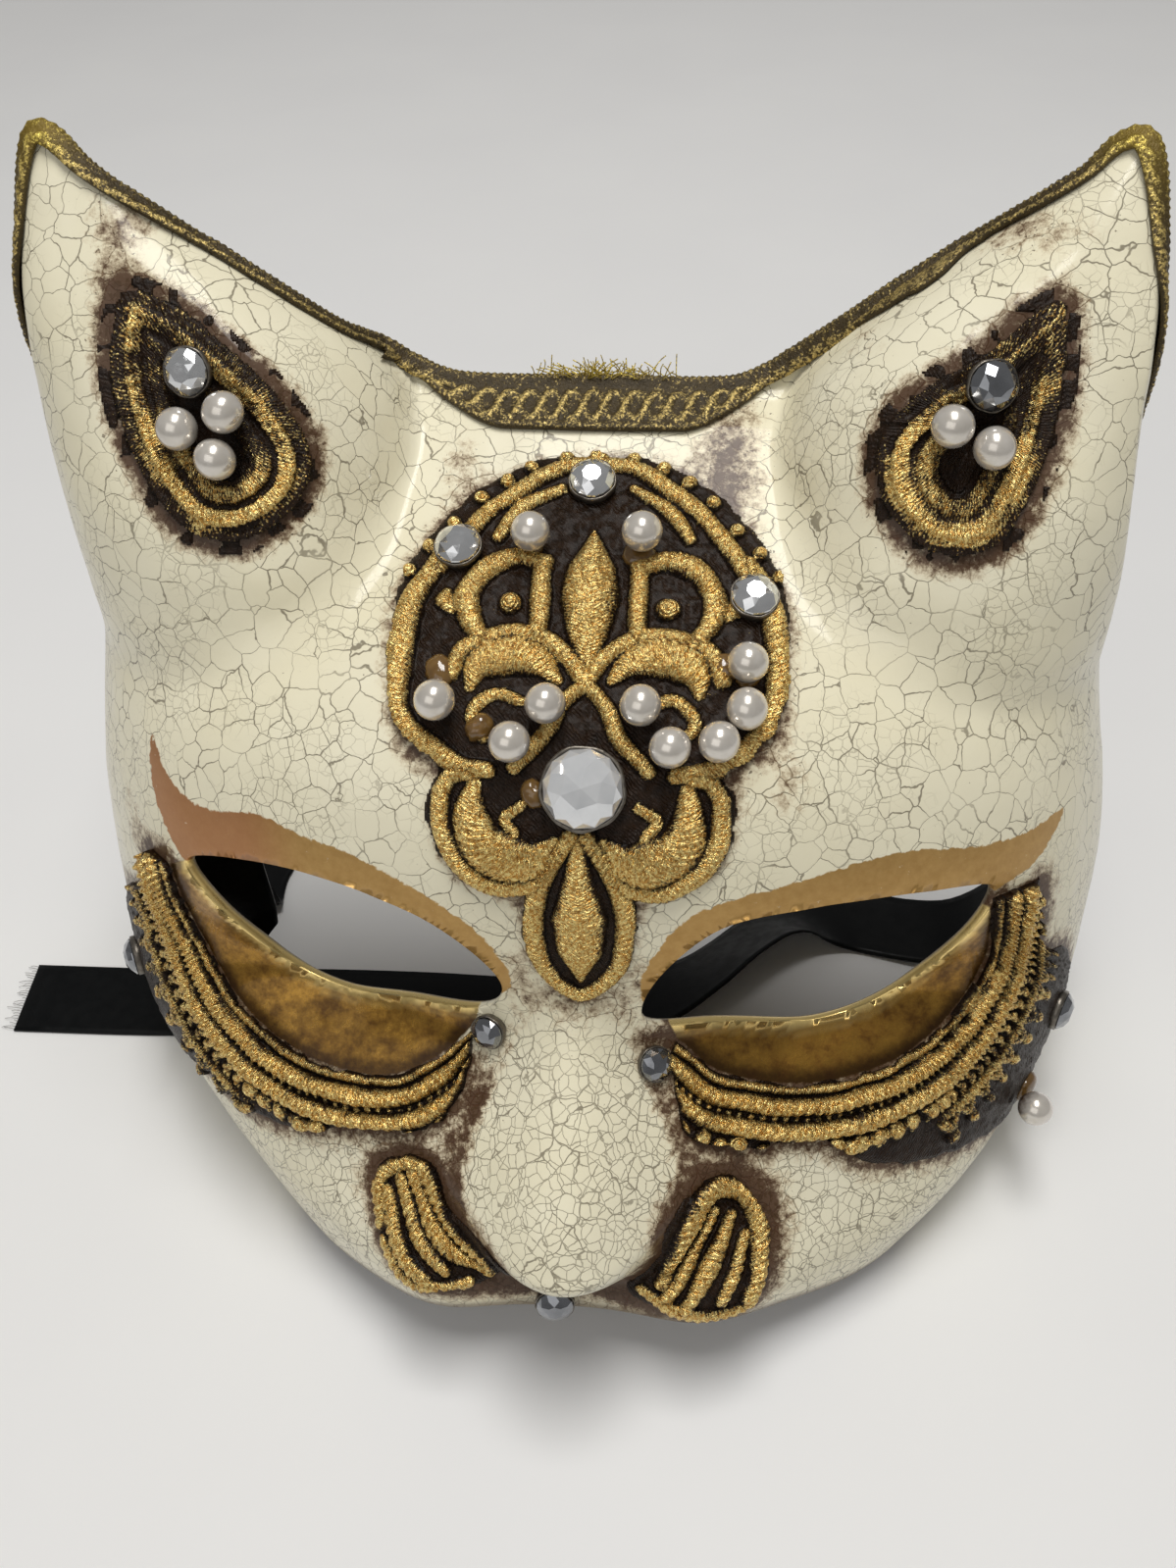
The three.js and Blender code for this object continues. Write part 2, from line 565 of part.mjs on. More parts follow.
mask.add(pearl('pearl_cheek', ...CHEEK_PEARL, CHEEK_PEARL_LIFT));

const root = new THREE.Group();
root.add(mask);
root.add(ribbon('ribbon_left', RIBBON_LEFT, 44));
root.add(ribbon('ribbon_right', RIBBON_RIGHT, 64));

export default root;
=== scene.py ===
"""A Venetian cat half mask, leaning back on a white table: crackled lacquer shell, gold leaf,
gilt lace, glued crystals and pearls, gold braid edge and two black satin ribbons.

Shapes are laid out in millimetres in a worn frame (X to the wearer's left, Y towards the face,
Z up) and stood on the table by stand(), which gives metres in the CAD model's frame.
"""
import math

import bpy
import numpy as np
from mathutils import Matrix, Vector
from mathutils.kdtree import KDTree


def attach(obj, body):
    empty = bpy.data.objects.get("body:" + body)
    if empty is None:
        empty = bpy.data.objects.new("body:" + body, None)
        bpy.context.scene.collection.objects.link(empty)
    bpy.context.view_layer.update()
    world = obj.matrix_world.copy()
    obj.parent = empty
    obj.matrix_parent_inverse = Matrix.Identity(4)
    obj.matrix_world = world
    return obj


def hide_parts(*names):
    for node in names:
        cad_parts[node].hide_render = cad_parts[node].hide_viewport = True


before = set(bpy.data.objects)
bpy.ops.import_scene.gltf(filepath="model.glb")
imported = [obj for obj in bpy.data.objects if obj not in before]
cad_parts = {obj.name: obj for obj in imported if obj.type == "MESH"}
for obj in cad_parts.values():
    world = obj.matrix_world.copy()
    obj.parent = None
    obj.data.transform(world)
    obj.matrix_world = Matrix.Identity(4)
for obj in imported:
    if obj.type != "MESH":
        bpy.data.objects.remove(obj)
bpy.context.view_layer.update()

MM = 0.001
RNG = np.random.default_rng(7)

# ---- driving dimensions, in millimetres and degrees ----
LEAN = math.radians(22)
TABLE_DROP = 14.2
CENTRE_Y = 11.0
WALL = 1.9
FOOT_ARCH = 1.6
ROUNDNESS = 2.4
EAR_ROUNDNESS = 2.3
PEARL_R = 2.9
RIBBON_W = 16.0
RIBBON_T = 0.5
RIBBON_CLEAR = 0.15
LACE_PITCH = 0.3
SHELL_COLUMNS = 330
SHELL_ROWS = 240

# ---- the face, as rows of (height, value) ----
HALF_WIDTH = [(0, 60), (10, 68), (27, 80), (45, 86), (60, 87.5), (80, 87), (100, 85), (125, 84),
              (150, 84.5), (187, 85)]
BACK = [(0, 32), (45, 31), (70, 27), (95, 25), (120, 23), (147, 15), (160, 9), (187, -3)]
MIDLINE = [(0, -38), (10, -44), (20, -45), (32, -41), (48, -37), (62, -36), (75, -38.5), (88, -40),
           (98, -38.5), (108, -33), (120, -22.5), (128, -14), (135, -6.5), (142, 0.5), (148, 6.5),
           (160, 1), (187, -6)]
EAR_INNER = [(95, 8), (120, 19), (132, 24), (141, 26), (150, 31), (160, 42), (170, 55), (187, 73)]
EAR_OUTER = [(95, 84), (120, 84), (141, 86), (160, 87), (170, 86), (187, 82)]
EAR_BACK = [(95, 40), (120, 22), (141, 15), (160, 8), (187, -1)]
EAR_FRONT = [(95, -5), (108, -21), (120, -24), (132, -24), (141, -23), (152, -21), (160, -18),
             (170, -13), (187, -7)]
# ---- rims, as rows of (girth angle, height) ----
TOP_RIM = [(0, 147), (14, 147), (18, 148.5), (24, 154), (32, 162), (42, 170.5), (52, 177.5),
           (57, 181.3), (61, 181.3), (64, 175.5), (70, 157), (76, 139), (82, 122), (90, 105)]
LOW_RIM = [(0, 14), (12, 14.5), (24, 13), (36, 11), (48, 9), (60, 7), (90, 0)]
# ---- eye holes, as points of (x, height) for a smooth closed line ----
EYE_LEFT = [(-61, 79.5), (-49, 83.2), (-33, 82), (-19, 76), (-10.8, 66), (-12.5, 61.4), (-26, 58.4),
            (-38, 57.4), (-47.5, 61), (-57, 72.5)]
EYE_RIGHT = [(62, 80), (51, 82), (34, 81.4), (20.5, 77.8), (11.4, 66.8), (10.4, 60.2), (21, 58),
             (36.5, 55.9), (48, 59.5), (56.4, 68.2)]


# ================= camera =================
CAMERA_PLACE = (0.016, -0.1504, 0.2373)
CAMERA_FORWARD = (-0.0688, 0.6985, -0.7123)
CAMERA_RIGHT = (0.9972, 0.0695, -0.0281)
CAMERA_ROLL = math.radians(0.35)
LENS_MM = 33.8
SENSOR_MM = 36.0
NEAREST_SEEN = 0.01


def add_camera():
    forward = Vector(CAMERA_FORWARD).normalized()
    right = Vector(CAMERA_RIGHT).normalized()
    up = right.cross(forward)
    level = math.cos(CAMERA_ROLL) * right + math.sin(CAMERA_ROLL) * up
    upright = level.cross(forward)
    data = bpy.data.cameras.new("camera")
    data.lens = LENS_MM
    data.sensor_width = SENSOR_MM
    data.clip_start = NEAREST_SEEN
    camera = bpy.data.objects.new("camera", data)
    turn = Matrix((level, upright, -forward)).transposed().to_4x4()
    camera.matrix_world = Matrix.Translation(CAMERA_PLACE) @ turn
    bpy.context.scene.collection.objects.link(camera)
    bpy.context.scene.camera = camera


# ================= meshes =================
def add_mesh(name, points, faces, material, smooth=True, **attributes):
    """A mesh object from points in metres, with one float attribute per keyword."""
    mesh = bpy.data.meshes.new(name)
    mesh.from_pydata(np.asarray(points).tolist(), [], [list(map(int, f)) for f in faces])
    for key, values in attributes.items():
        layer = mesh.attributes.new(key, "FLOAT", "POINT")
        layer.data.foreach_set("value", np.asarray(values, dtype=np.float32))
    mesh.polygons.foreach_set("use_smooth", [smooth] * len(mesh.polygons))
    mesh.materials.append(material)
    mesh.update()
    piece = bpy.data.objects.new(name, mesh)
    bpy.context.scene.collection.objects.link(piece)
    return piece


def place(piece, slot, *nodes):
    """The piece belongs to the object, and stands for the CAD nodes."""
    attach(piece, "root")
    if nodes:
        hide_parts(*nodes)
    return piece


def grid_quads(columns, rows):
    i, j = np.meshgrid(np.arange(columns - 1), np.arange(rows - 1), indexing="ij")
    a = (i * rows + j).ravel()
    return np.stack([a, a + rows, a + rows + 1, a + 1], axis=1)


def edges_of(quads, tris, count):
    """Directed edges that only one face has."""
    pairs = [(quads[:, k], quads[:, (k + 1) % 4]) for k in range(4)]
    pairs += [(tris[:, k], tris[:, (k + 1) % 3]) for k in range(3)]
    a = np.concatenate([p[0] for p in pairs])
    b = np.concatenate([p[1] for p in pairs])
    lone = ~np.isin(b * count + a, a * count + b)
    return a[lone], b[lone]


def thicken(top, bottom, quads, tris=None, bulge=0.0):
    """Closed surface over matching top and bottom points. Gives points, faces and for each point
    the index of the top point that it belongs to and its layer, from 0 on top to 1 below."""
    tris = np.zeros((0, 3), int) if tris is None else tris
    count = len(top)
    a, b = edges_of(quads, tris, count)
    edge = np.unique(np.concatenate([a, b]))
    slot_of = np.full(count, -1)
    slot_of[edge] = np.arange(len(edge))
    up = top - bottom
    up /= np.maximum(np.linalg.norm(up, axis=1, keepdims=True), 1e-9)
    out = np.zeros_like(top)
    along_edge = top[b] - top[a]
    side = np.cross(along_edge, up[a])
    np.add.at(out, a, side)
    np.add.at(out, b, side)
    out /= np.maximum(np.linalg.norm(out, axis=1, keepdims=True), 1e-9)
    rings = []
    owners = [np.arange(count), np.arange(count)]
    layers = [np.zeros(count), np.ones(count)]
    shares = [0.15, 0.5, 0.85] if bulge else []
    for share in shares:
        swell = bulge * (1 - (2 * share - 1) ** 2) + bulge * 0.25
        rings.append(top[edge] * (1 - share) + bottom[edge] * share + out[edge] * swell)
        owners.append(edge)
        layers.append(np.full(len(edge), share))
    points = np.concatenate([top, bottom] + rings)
    chain = [lambda k: k]
    for n in range(len(shares)):
        start = 2 * count + n * len(edge)
        chain.append(lambda k, start=start: start + slot_of[k])
    chain.append(lambda k: k + count)
    faces = [quads, quads[:, ::-1] + count]
    for upper, lower in zip(chain, chain[1:]):
        faces.append(np.stack([upper(b), upper(a), lower(a), lower(b)], axis=1))
    quad_faces = np.concatenate(faces)
    tri_faces = np.concatenate([tris, tris[:, ::-1] + count])
    used = np.zeros(len(points), bool)
    used[quad_faces.ravel()] = True
    used[tri_faces.ravel()] = True
    renumber = np.cumsum(used) - 1
    all_faces = [*renumber[quad_faces].tolist(), *renumber[tri_faces].tolist()]
    return points[used], all_faces, np.concatenate(owners)[used], np.concatenate(layers)[used]


# ================= lines =================
def unit(v):
    return v / np.maximum(np.linalg.norm(v, axis=-1, keepdims=True), 1e-9)


def spline(p, at):
    """Centripetal Catmull-Rom curve, where p has a spare knot before and after: points, tangents."""
    i = np.minimum(at.astype(int), len(p) - 4)
    w = (at - i)[:, None]
    p0, p1, p2, p3 = p[i], p[i + 1], p[i + 2], p[i + 3]
    d0, d1, d2 = (np.sqrt(np.linalg.norm(b - a, axis=1))[:, None] for a, b in ((p0, p1), (p1, p2), (p2, p3)))
    d1 = np.where(d1 < 1e-4, 1, d1)
    d0 = np.where(d0 < 1e-4, d1, d0)
    d2 = np.where(d2 < 1e-4, d1, d2)
    t1 = ((p1 - p0) / d0 - (p2 - p0) / (d0 + d1) + (p2 - p1) / d1) * d1
    t2 = ((p2 - p1) / d1 - (p3 - p1) / (d1 + d2) + (p3 - p2) / d2) * d1
    c2 = -3 * p1 + 3 * p2 - 2 * t1 - t2
    c3 = 2 * p1 - 2 * p2 + t1 + t2
    return p1 + t1 * w + c2 * w**2 + c3 * w**3, unit(t1 + 2 * c2 * w + 3 * c3 * w**2)


def smooth_route(knots, steps):
    """Smooth open line through the knots: points and tangents."""
    p = np.array(knots, float)
    p = np.concatenate([[2 * p[0] - p[1]], p, [2 * p[-1] - p[-2]]])
    return spline(p, np.linspace(0, len(knots) - 1, steps + 1))


def smooth_loop(knots, steps=10):
    """Smooth closed line through the knots, with some steps between each two."""
    p = np.array(knots, float)
    return spline(np.concatenate([p[-1:], p, p[:2]]), np.arange(len(knots) * steps) / steps)[0]


def nearest_on(x, z, line):
    """For each point of the plane: distance to an open line, how far along the line the nearest
    point is, and how far to its left the point lies."""
    a = line[:-1]
    step = line[1:] - a
    size = np.maximum(np.linalg.norm(step, axis=1), 1e-9)
    start = np.concatenate([[0], np.cumsum(size)[:-1]])
    dx = x[:, None] - a[None, :, 0]
    dz = z[:, None] - a[None, :, 1]
    share = np.clip((dx * step[:, 0] + dz * step[:, 1]) / size**2, 0, 1)
    away = np.hypot(dx - share * step[:, 0], dz - share * step[:, 1])
    best = np.argmin(away, axis=1)
    pick = np.arange(len(x))
    cross = (step[:, 0] * dz - step[:, 1] * dx) / size
    return away[pick, best], start[best] + share[pick, best] * size[best], cross[pick, best]


def inside_of(x, z, line):
    """Whether points lie inside a closed line."""
    ax, az = line[:, 0], line[:, 1]
    bx, bz = np.roll(ax, -1), np.roll(az, -1)
    over = (az[None] > z[:, None]) != (bz[None] > z[:, None])
    slope = (bx - ax) / np.where(bz == az, 1e-9, bz - az)
    return np.sum(over & (x[:, None] < ax + (z[:, None] - az) * slope), axis=1) % 2 == 1


def signed_distance(x, z, line, reach=8.0):
    """Distance to a closed line, positive inside, for points within reach. Far points get -reach."""
    flat_x = np.ravel(x)
    flat_z = np.ravel(z)
    low = line.min(axis=0) - reach
    high = line.max(axis=0) + reach
    near = (flat_x > low[0]) & (flat_x < high[0]) & (flat_z > low[1]) & (flat_z < high[1])
    found = np.flatnonzero(near)
    closed = np.concatenate([line, line[:1]])
    result = np.full(flat_x.shape, -reach)
    for part in np.array_split(found, max(1, len(found) // 4000)):
        away = nearest_on(flat_x[part], flat_z[part], closed)[0]
        inside = inside_of(flat_x[part], flat_z[part], line)
        result[part] = np.where(inside, away, -np.minimum(away, reach))
    return result.reshape(np.shape(x))


def mottle(x, y, size, seed):
    """Smooth random pattern between -1 and 1."""
    table = np.random.default_rng(seed).uniform(-1, 1, (64, 64))
    gx = np.asarray(x, float) / size
    gy = np.asarray(y, float) / size
    i = np.floor(gx).astype(int)
    j = np.floor(gy).astype(int)
    u = gx - i
    v = gy - j
    u = u * u * (3 - 2 * u)
    v = v * v * (3 - 2 * v)
    low = table[i % 64, j % 64] * (1 - u) + table[(i + 1) % 64, j % 64] * u
    high = table[i % 64, (j + 1) % 64] * (1 - u) + table[(i + 1) % 64, (j + 1) % 64] * u
    return low * (1 - v) + high * v


# ================= the shell's surface =================
def smoothstep(x, low, high):
    t = np.clip((x - low) / (high - low), 0, 1)
    return t * t * (3 - 2 * t)


def bell(x, width):
    return np.exp(-((x / width) ** 2))


def along(rows, at):
    """Smooth curve through rows of (position, value)."""
    table = np.array(rows, float)
    x = table[:, 0]
    y = table[:, 1]
    last = len(x) - 1
    ahead = np.minimum(np.arange(len(x)) + 1, last)
    behind = np.maximum(np.arange(len(x)) - 1, 0)
    slope = (y[ahead] - y[behind]) / (x[ahead] - x[behind])
    at = np.clip(at, x[0], x[-1])
    i = np.clip(np.searchsorted(x, at, side="left") - 1, 0, last - 1)
    h = x[i + 1] - x[i]
    t = (at - x[i]) / h
    value = (2 * t**3 - 3 * t**2 + 1) * y[i] + (3 * t**2 - 2 * t**3) * y[i + 1]
    return value + (t**3 - 2 * t**2 + t) * h * slope[i] + (t**3 - t**2) * h * slope[i + 1]


def soft_min(a, b, blend):
    h = np.clip(0.5 + 0.5 * (b - a) / blend, 0, 1)
    return b * (1 - h) + a * h - blend * h * (1 - h)


def across(angle, z):
    s = np.sin(angle)
    c = np.cos(angle)
    r = (np.abs(s) ** ROUNDNESS + np.abs(c) ** ROUNDNESS) ** (-1 / ROUNDNESS)
    slim = 1 - 0.03 * smoothstep(z, 70, 120) - 0.035 * smoothstep(z, 115, 150)
    jaw = 1 - 0.11 * (1 - smoothstep(z, 12, 46))
    return along(HALF_WIDTH, z) * r * s * np.where(s > 0, slim, jaw), r * c


def ear_front(x, z):
    inner = along(EAR_INNER, z)
    outer = along(EAR_OUTER, z)
    back = along(EAR_BACK, z)
    t = np.abs((np.abs(x) - (inner + outer) / 2) / ((outer - inner) / 2))
    dome = np.clip(1 - t**EAR_ROUNDNESS, 0, 1) ** (1 / EAR_ROUNDNESS)
    outside = np.maximum(0, t - 1) * 60 + np.where(z < 100, 40, 0)
    return back - (back - along(EAR_FRONT, z)) * dome + outside


def relief(x, z):
    """How far nose, eye sockets, muzzle and ear hollows stand off the plain face."""
    ax = np.abs(x)
    nose_width = 5 + 12 * smoothstep(z, 68, 28)
    foot = 18 + 6 * (ax / 17) ** 2
    nose_run = smoothstep(z, 70, 32) * smoothstep(z, foot, foot + 12)
    nose = 17 * nose_run * np.exp(-((ax / nose_width) ** 2.2))
    socket = 8 * bell(ax - 38, 22) * bell(z - 59 - 0.12 * (ax - 38), 9.5)
    muzzle = 5 * bell(ax - 21, 12) * bell(z - 19, 10)
    tilt = math.radians(33.5)
    side = (ax - 57) * math.cos(tilt) - (z - 148) * math.sin(tilt)
    length = (ax - 57) * math.sin(tilt) + (z - 148) * math.cos(tilt)
    return nose - socket + muzzle - 5 * bell(side, 9) * bell(length, 16)


def face(angle, z):
    """Point of the outer surface at a girth angle and a height."""
    x, reach = across(angle, z)
    back = along(BACK, z)
    plain = back - (back - along(MIDLINE, z)) * reach
    fade = 1 - smoothstep(np.abs(np.degrees(angle)), 66, 84)
    ears = soft_min(plain, ear_front(x, z), 5)
    y = plain + (ears - plain - relief(x, z)) * fade
    return np.stack(np.broadcast_arrays(x, y, z), axis=-1)


def face_normal(angle, z, turn=0.004, rise=0.4):
    girthwise = face(angle + turn, z) - face(angle - turn, z)
    upwards = face(angle, z + rise) - face(angle, z - rise)
    return unit(np.cross(girthwise, upwards))


def inner_point(angle, z):
    """Inner face: pulled in along a direction that turns smoothly from front to side."""
    n = 0
    for turn in (-0.05, 0, 0.05):
        for rise in (-3, 0, 3):
            n = n + face_normal(angle + turn, z + rise)
    n[..., 2] *= 0.6
    return face(angle, z) - WALL * unit(n)


def girth_at(x, z):
    """Girth angle of the surface point that is seen from the front at x."""
    low = np.full(np.broadcast(x, z).shape, -math.pi / 2)
    high = -low
    for _ in range(32):
        mid = (low + high) / 2
        short = across(mid, z)[0] < x
        low = np.where(short, mid, low)
        high = np.where(short, high, mid)
    return (low + high) / 2


def on_face(x, z, lift=0.0):
    x = np.asarray(x, float)
    z = np.asarray(z, float)
    angle = girth_at(x, z)
    return face(angle, z) + lift * face_normal(angle, z)


def seat_at(x, z, height):
    """Point that stands off the shell by a height, seen from the front at x and z."""
    angle = girth_at(np.float64(x), np.float64(z))
    normal = face_normal(angle, np.float64(z))
    centre = face(angle, np.float64(z))
    centre[1] -= height / max(0.35, -normal[1])
    return centre, normal


def stand(p):
    """From the worn frame in millimetres to the CAD model's frame in metres."""
    p = np.asarray(p, float)
    y = p[..., 1] * math.cos(LEAN) + p[..., 2] * math.sin(LEAN) - CENTRE_Y
    z = -p[..., 1] * math.sin(LEAN) + p[..., 2] * math.cos(LEAN) - TABLE_DROP
    return np.stack([p[..., 0], y, z], axis=-1) * MM


def top_rim(angle):
    return along(TOP_RIM, np.abs(np.degrees(angle)))


def low_rim(angle):
    """The lower edge is cut flat where it stands, with a shallow arch between cheek and corner."""
    deg = np.abs(np.degrees(angle))
    arch = FOOT_ARCH * smoothstep(deg, 60, 68) * (1 - smoothstep(deg, 87, 89.5))
    z = np.full_like(deg, 14.0)
    for _ in range(40):
        y = face(angle, z)[..., 1]
        z = 0.5 * z + 0.5 * (TABLE_DROP + arch + 0.05 + y * math.sin(LEAN)) / math.cos(LEAN)
    return np.maximum(along(LOW_RIM, deg), z)


# ================= ribbons =================
# Rows of (x, y, z, then the direction the flat side faces), in the CAD model's frame.
RIBBON_RIGHT = [
    (82, 39.7, 46, -1, 0, 0), (81, 39.7, 28, -1, 0, 0.05), (77, 40.2, 12, -0.85, 0, 0.5),
    (69, 41.2, 3.5, -0.4, 0, 0.9), (60, 43.2, 1, 0, 0, 1), (50, 45.2, 1, 0, 0, 1),
    (41, 44.2, 2.4, -0.2, 0.2, 1), (33, 39.7, 4.4, -0.4, 0.35, 0.85), (26, 33.2, 4.9, -0.45, 0.35, 0.82),
    (19, 26.7, 4.4, -0.35, 0.3, 0.88), (10, 21.7, 2.6, -0.15, 0.15, 1), (-1, 19.3, 1, 0, 0, 1),
    (-14, 18.7, 0.6, 0, 0, 1), (-35, 19, 0.5, 0, 0, 1), (-60, 18.5, 0.45, 0, 0, 1),
    (-88, 17, 0.45, 0, 0, 1), (-114.5, 16.5, 0.45, 0, 0, 1),
]
RIBBON_LEFT = [
    (-73, 31.5, 46, 0, -1, 0), (-73.2, 31.8, 26, 0, -1, 0.05), (-73.6, 34, 9, 0, -0.8, 0.6),
    (-76, 41, 1.6, 0, -0.1, 1), (-76.5, 52, 0.6, 0, 0, 1), (-71, 66, 0.5, 0, 0, 1),
    (-57, 76, 0.5, 0, 0, 1), (-36, 81, 0.5, 0, 0, 1), (-12, 82, 0.5, 0, 0, 1),
    (14, 79, 0.5, 0, 0, 1), (40, 77, 0.5, 0, 0, 1), (64, 81, 0.5, 0, 0, 1),
]


def add_ribbon(name, rows, steps, material, node):
    table = np.array(rows, float)
    line, tangent = smooth_route(table[:, :3], steps)
    facing, _ = smooth_route(table[:, 3:], steps)
    facing = unit(facing - tangent * np.sum(facing * tangent, axis=1, keepdims=True))
    side = np.cross(tangent, facing)
    droop = (np.abs(side[:, 2]) * RIBBON_W + np.abs(facing[:, 2]) * RIBBON_T) / 2
    line[:, 2] = np.maximum(line[:, 2], droop + RIBBON_CLEAR)
    lanes = np.linspace(-1, 1, 13)
    run = np.arange(steps + 1)
    layers = []
    for sign in (1, -1):
        selvage = 0.12 * smoothstep(np.abs(lanes), 0.86, 0.94)
        lift = sign * (RIBBON_T / 2 - 0.14 + selvage)
        wave = 0.07 * np.sin(run * 0.21)[:, None] * np.cos(lanes * 2.2)[None]
        height = (lift[None] + wave)[..., None]
        across_ribbon = (lanes * RIBBON_W / 2)[None, :, None]
        layers.append(line[:, None] + side[:, None] * across_ribbon + facing[:, None] * height)
    top, bottom = (layer.reshape(-1, 3) for layer in layers)
    points, faces, _, _ = thicken(top, bottom, grid_quads(steps + 1, len(lanes)))
    points[:, 2] = np.maximum(points[:, 2], 0.03)
    piece = add_mesh(name, points * MM, faces, material)
    place(piece, "satin", node)
    return piece, line, side, tangent


def add_fray(line, side, tangent, material):
    """Loose weft threads at the ribbon's cut end."""
    points = []
    faces = []
    for lane in np.linspace(-0.95, 0.95, 26):
        root = line[-1] + side[-1] * lane * RIBBON_W / 2
        reach = RNG.uniform(0.8, 3.2)
        lean = RNG.uniform(-0.5, 0.5)
        base = len(points)
        for k in range(5):
            share = k / 4
            centre = root + tangent[-1] * reach * share + side[-1] * lean * share**2
            centre = centre + np.array([0, 0, 0.25 * math.sin(share * 3)])
            for a in range(3):
                spin = 2 * math.pi * a / 3
                points.append(centre + 0.06 * (side[-1] * math.cos(spin) + np.array([0, 0, math.sin(spin)])))
        for k in range(4):
            for a in range(3):
                b = (a + 1) % 3
                faces.append((base + 3 * k + a, base + 3 * k + b, base + 3 * k + 3 + b, base + 3 * k + 3 + a))
        faces.append((base + 2, base + 1, base))
        faces.append((base + 12, base + 13, base + 14))
    points = np.array(points)
    points[:, 2] = np.maximum(points[:, 2], 0.05)
    return place(add_mesh("ribbon_fray", points * MM, faces, material), "satin")


# ================= materials =================
def srgb(red, green, blue):
    """Linear colour from everyday 0 to 255 values."""
    return tuple(((c / 255 + 0.055) / 1.055) ** 2.4 for c in (red, green, blue)) + (1,)


class Shade:
    """A material under construction: one Principled shader and short calls that add nodes."""

    def __init__(self, name, **sockets):
        self.material = bpy.data.materials.new(name)
        self.material.use_nodes = True
        self.tree = self.material.node_tree
        self.shader = self.tree.nodes["Principled BSDF"]
        self.place = self.node("ShaderNodeTexCoord").outputs["Object"]
        for socket, value in sockets.items():
            self.set(socket, value)

    def node(self, kind, **options):
        made = self.tree.nodes.new(kind)
        for key, value in options.items():
            setattr(made, key, value)
        return made

    def feed(self, socket, value):
        if isinstance(value, bpy.types.NodeSocket):
            self.tree.links.new(value, socket)
        else:
            socket.default_value = value

    def set(self, socket, value):
        self.feed(self.shader.inputs[socket.replace("_", " ")], value)

    def attribute(self, name):
        return self.node("ShaderNodeAttribute", attribute_name=name).outputs["Fac"]

    def noise(self, size, detail=2.0, roughness=0.5, place=None):
        made = self.node("ShaderNodeTexNoise")
        self.feed(made.inputs["Vector"], place or self.place)
        made.inputs["Scale"].default_value = 1 / (size * MM)
        made.inputs["Detail"].default_value = detail
        made.inputs["Roughness"].default_value = roughness
        return made.outputs["Fac"]

    def cells(self, size, feature="DISTANCE_TO_EDGE", place=None):
        made = self.node("ShaderNodeTexVoronoi", feature=feature)
        self.feed(made.inputs["Vector"], place or self.place)
        made.inputs["Scale"].default_value = 1 / (size * MM)
        return made.outputs["Distance" if feature == "DISTANCE_TO_EDGE" else "Color"]

    def warped(self, size, reach):
        made = self.node("ShaderNodeTexNoise")
        self.feed(made.inputs["Vector"], self.place)
        made.inputs["Scale"].default_value = 1 / (size * MM)
        made.inputs["Detail"].default_value = 3
        shift = self.node("ShaderNodeVectorMath", operation="MULTIPLY_ADD")
        self.feed(shift.inputs[0], made.outputs["Color"])
        shift.inputs[1].default_value = (reach * MM,) * 3
        self.feed(shift.inputs[2], self.place)
        return shift.outputs[0]

    def math(self, operation, a, b=0.0, clamp=False):
        made = self.node("ShaderNodeMath", operation=operation, use_clamp=clamp)
        self.feed(made.inputs[0], a)
        self.feed(made.inputs[1], b)
        return made.outputs[0]

    def ramp(self, value, low, high, to_low=0.0, to_high=1.0):
        made = self.node("ShaderNodeMapRange", interpolation_type="SMOOTHSTEP")
        for socket, number in zip(("Value", "From Min", "From Max", "To Min", "To Max"),
                                  (value, low, high, to_low, to_high)):
            self.feed(made.inputs[socket], number)
        return made.outputs[0]

    def mix(self, factor, a, b, blend="MIX"):
        made = self.node("ShaderNodeMix", data_type="RGBA", blend_type=blend)
        self.feed(made.inputs[0], factor)
        self.feed(made.inputs[6], a)
        self.feed(made.inputs[7], b)
        return made.outputs[2]

    def blend(self, factor, a, b):
        made = self.node("ShaderNodeMix", data_type="FLOAT")
        self.feed(made.inputs[0], factor)
        self.feed(made.inputs[2], a)
        self.feed(made.inputs[3], b)
        return made.outputs[0]

    def bump(self, height, depth, strength=1.0):
        made = self.node("ShaderNodeBump")
        made.inputs["Distance"].default_value = depth * MM
        made.inputs["Strength"].default_value = strength
        self.feed(made.inputs["Height"], height)
        previous = self.shader.inputs["Normal"]
        if previous.is_linked:
            self.feed(made.inputs["Normal"], previous.links[0].from_socket)
        self.feed(previous, made.outputs[0])


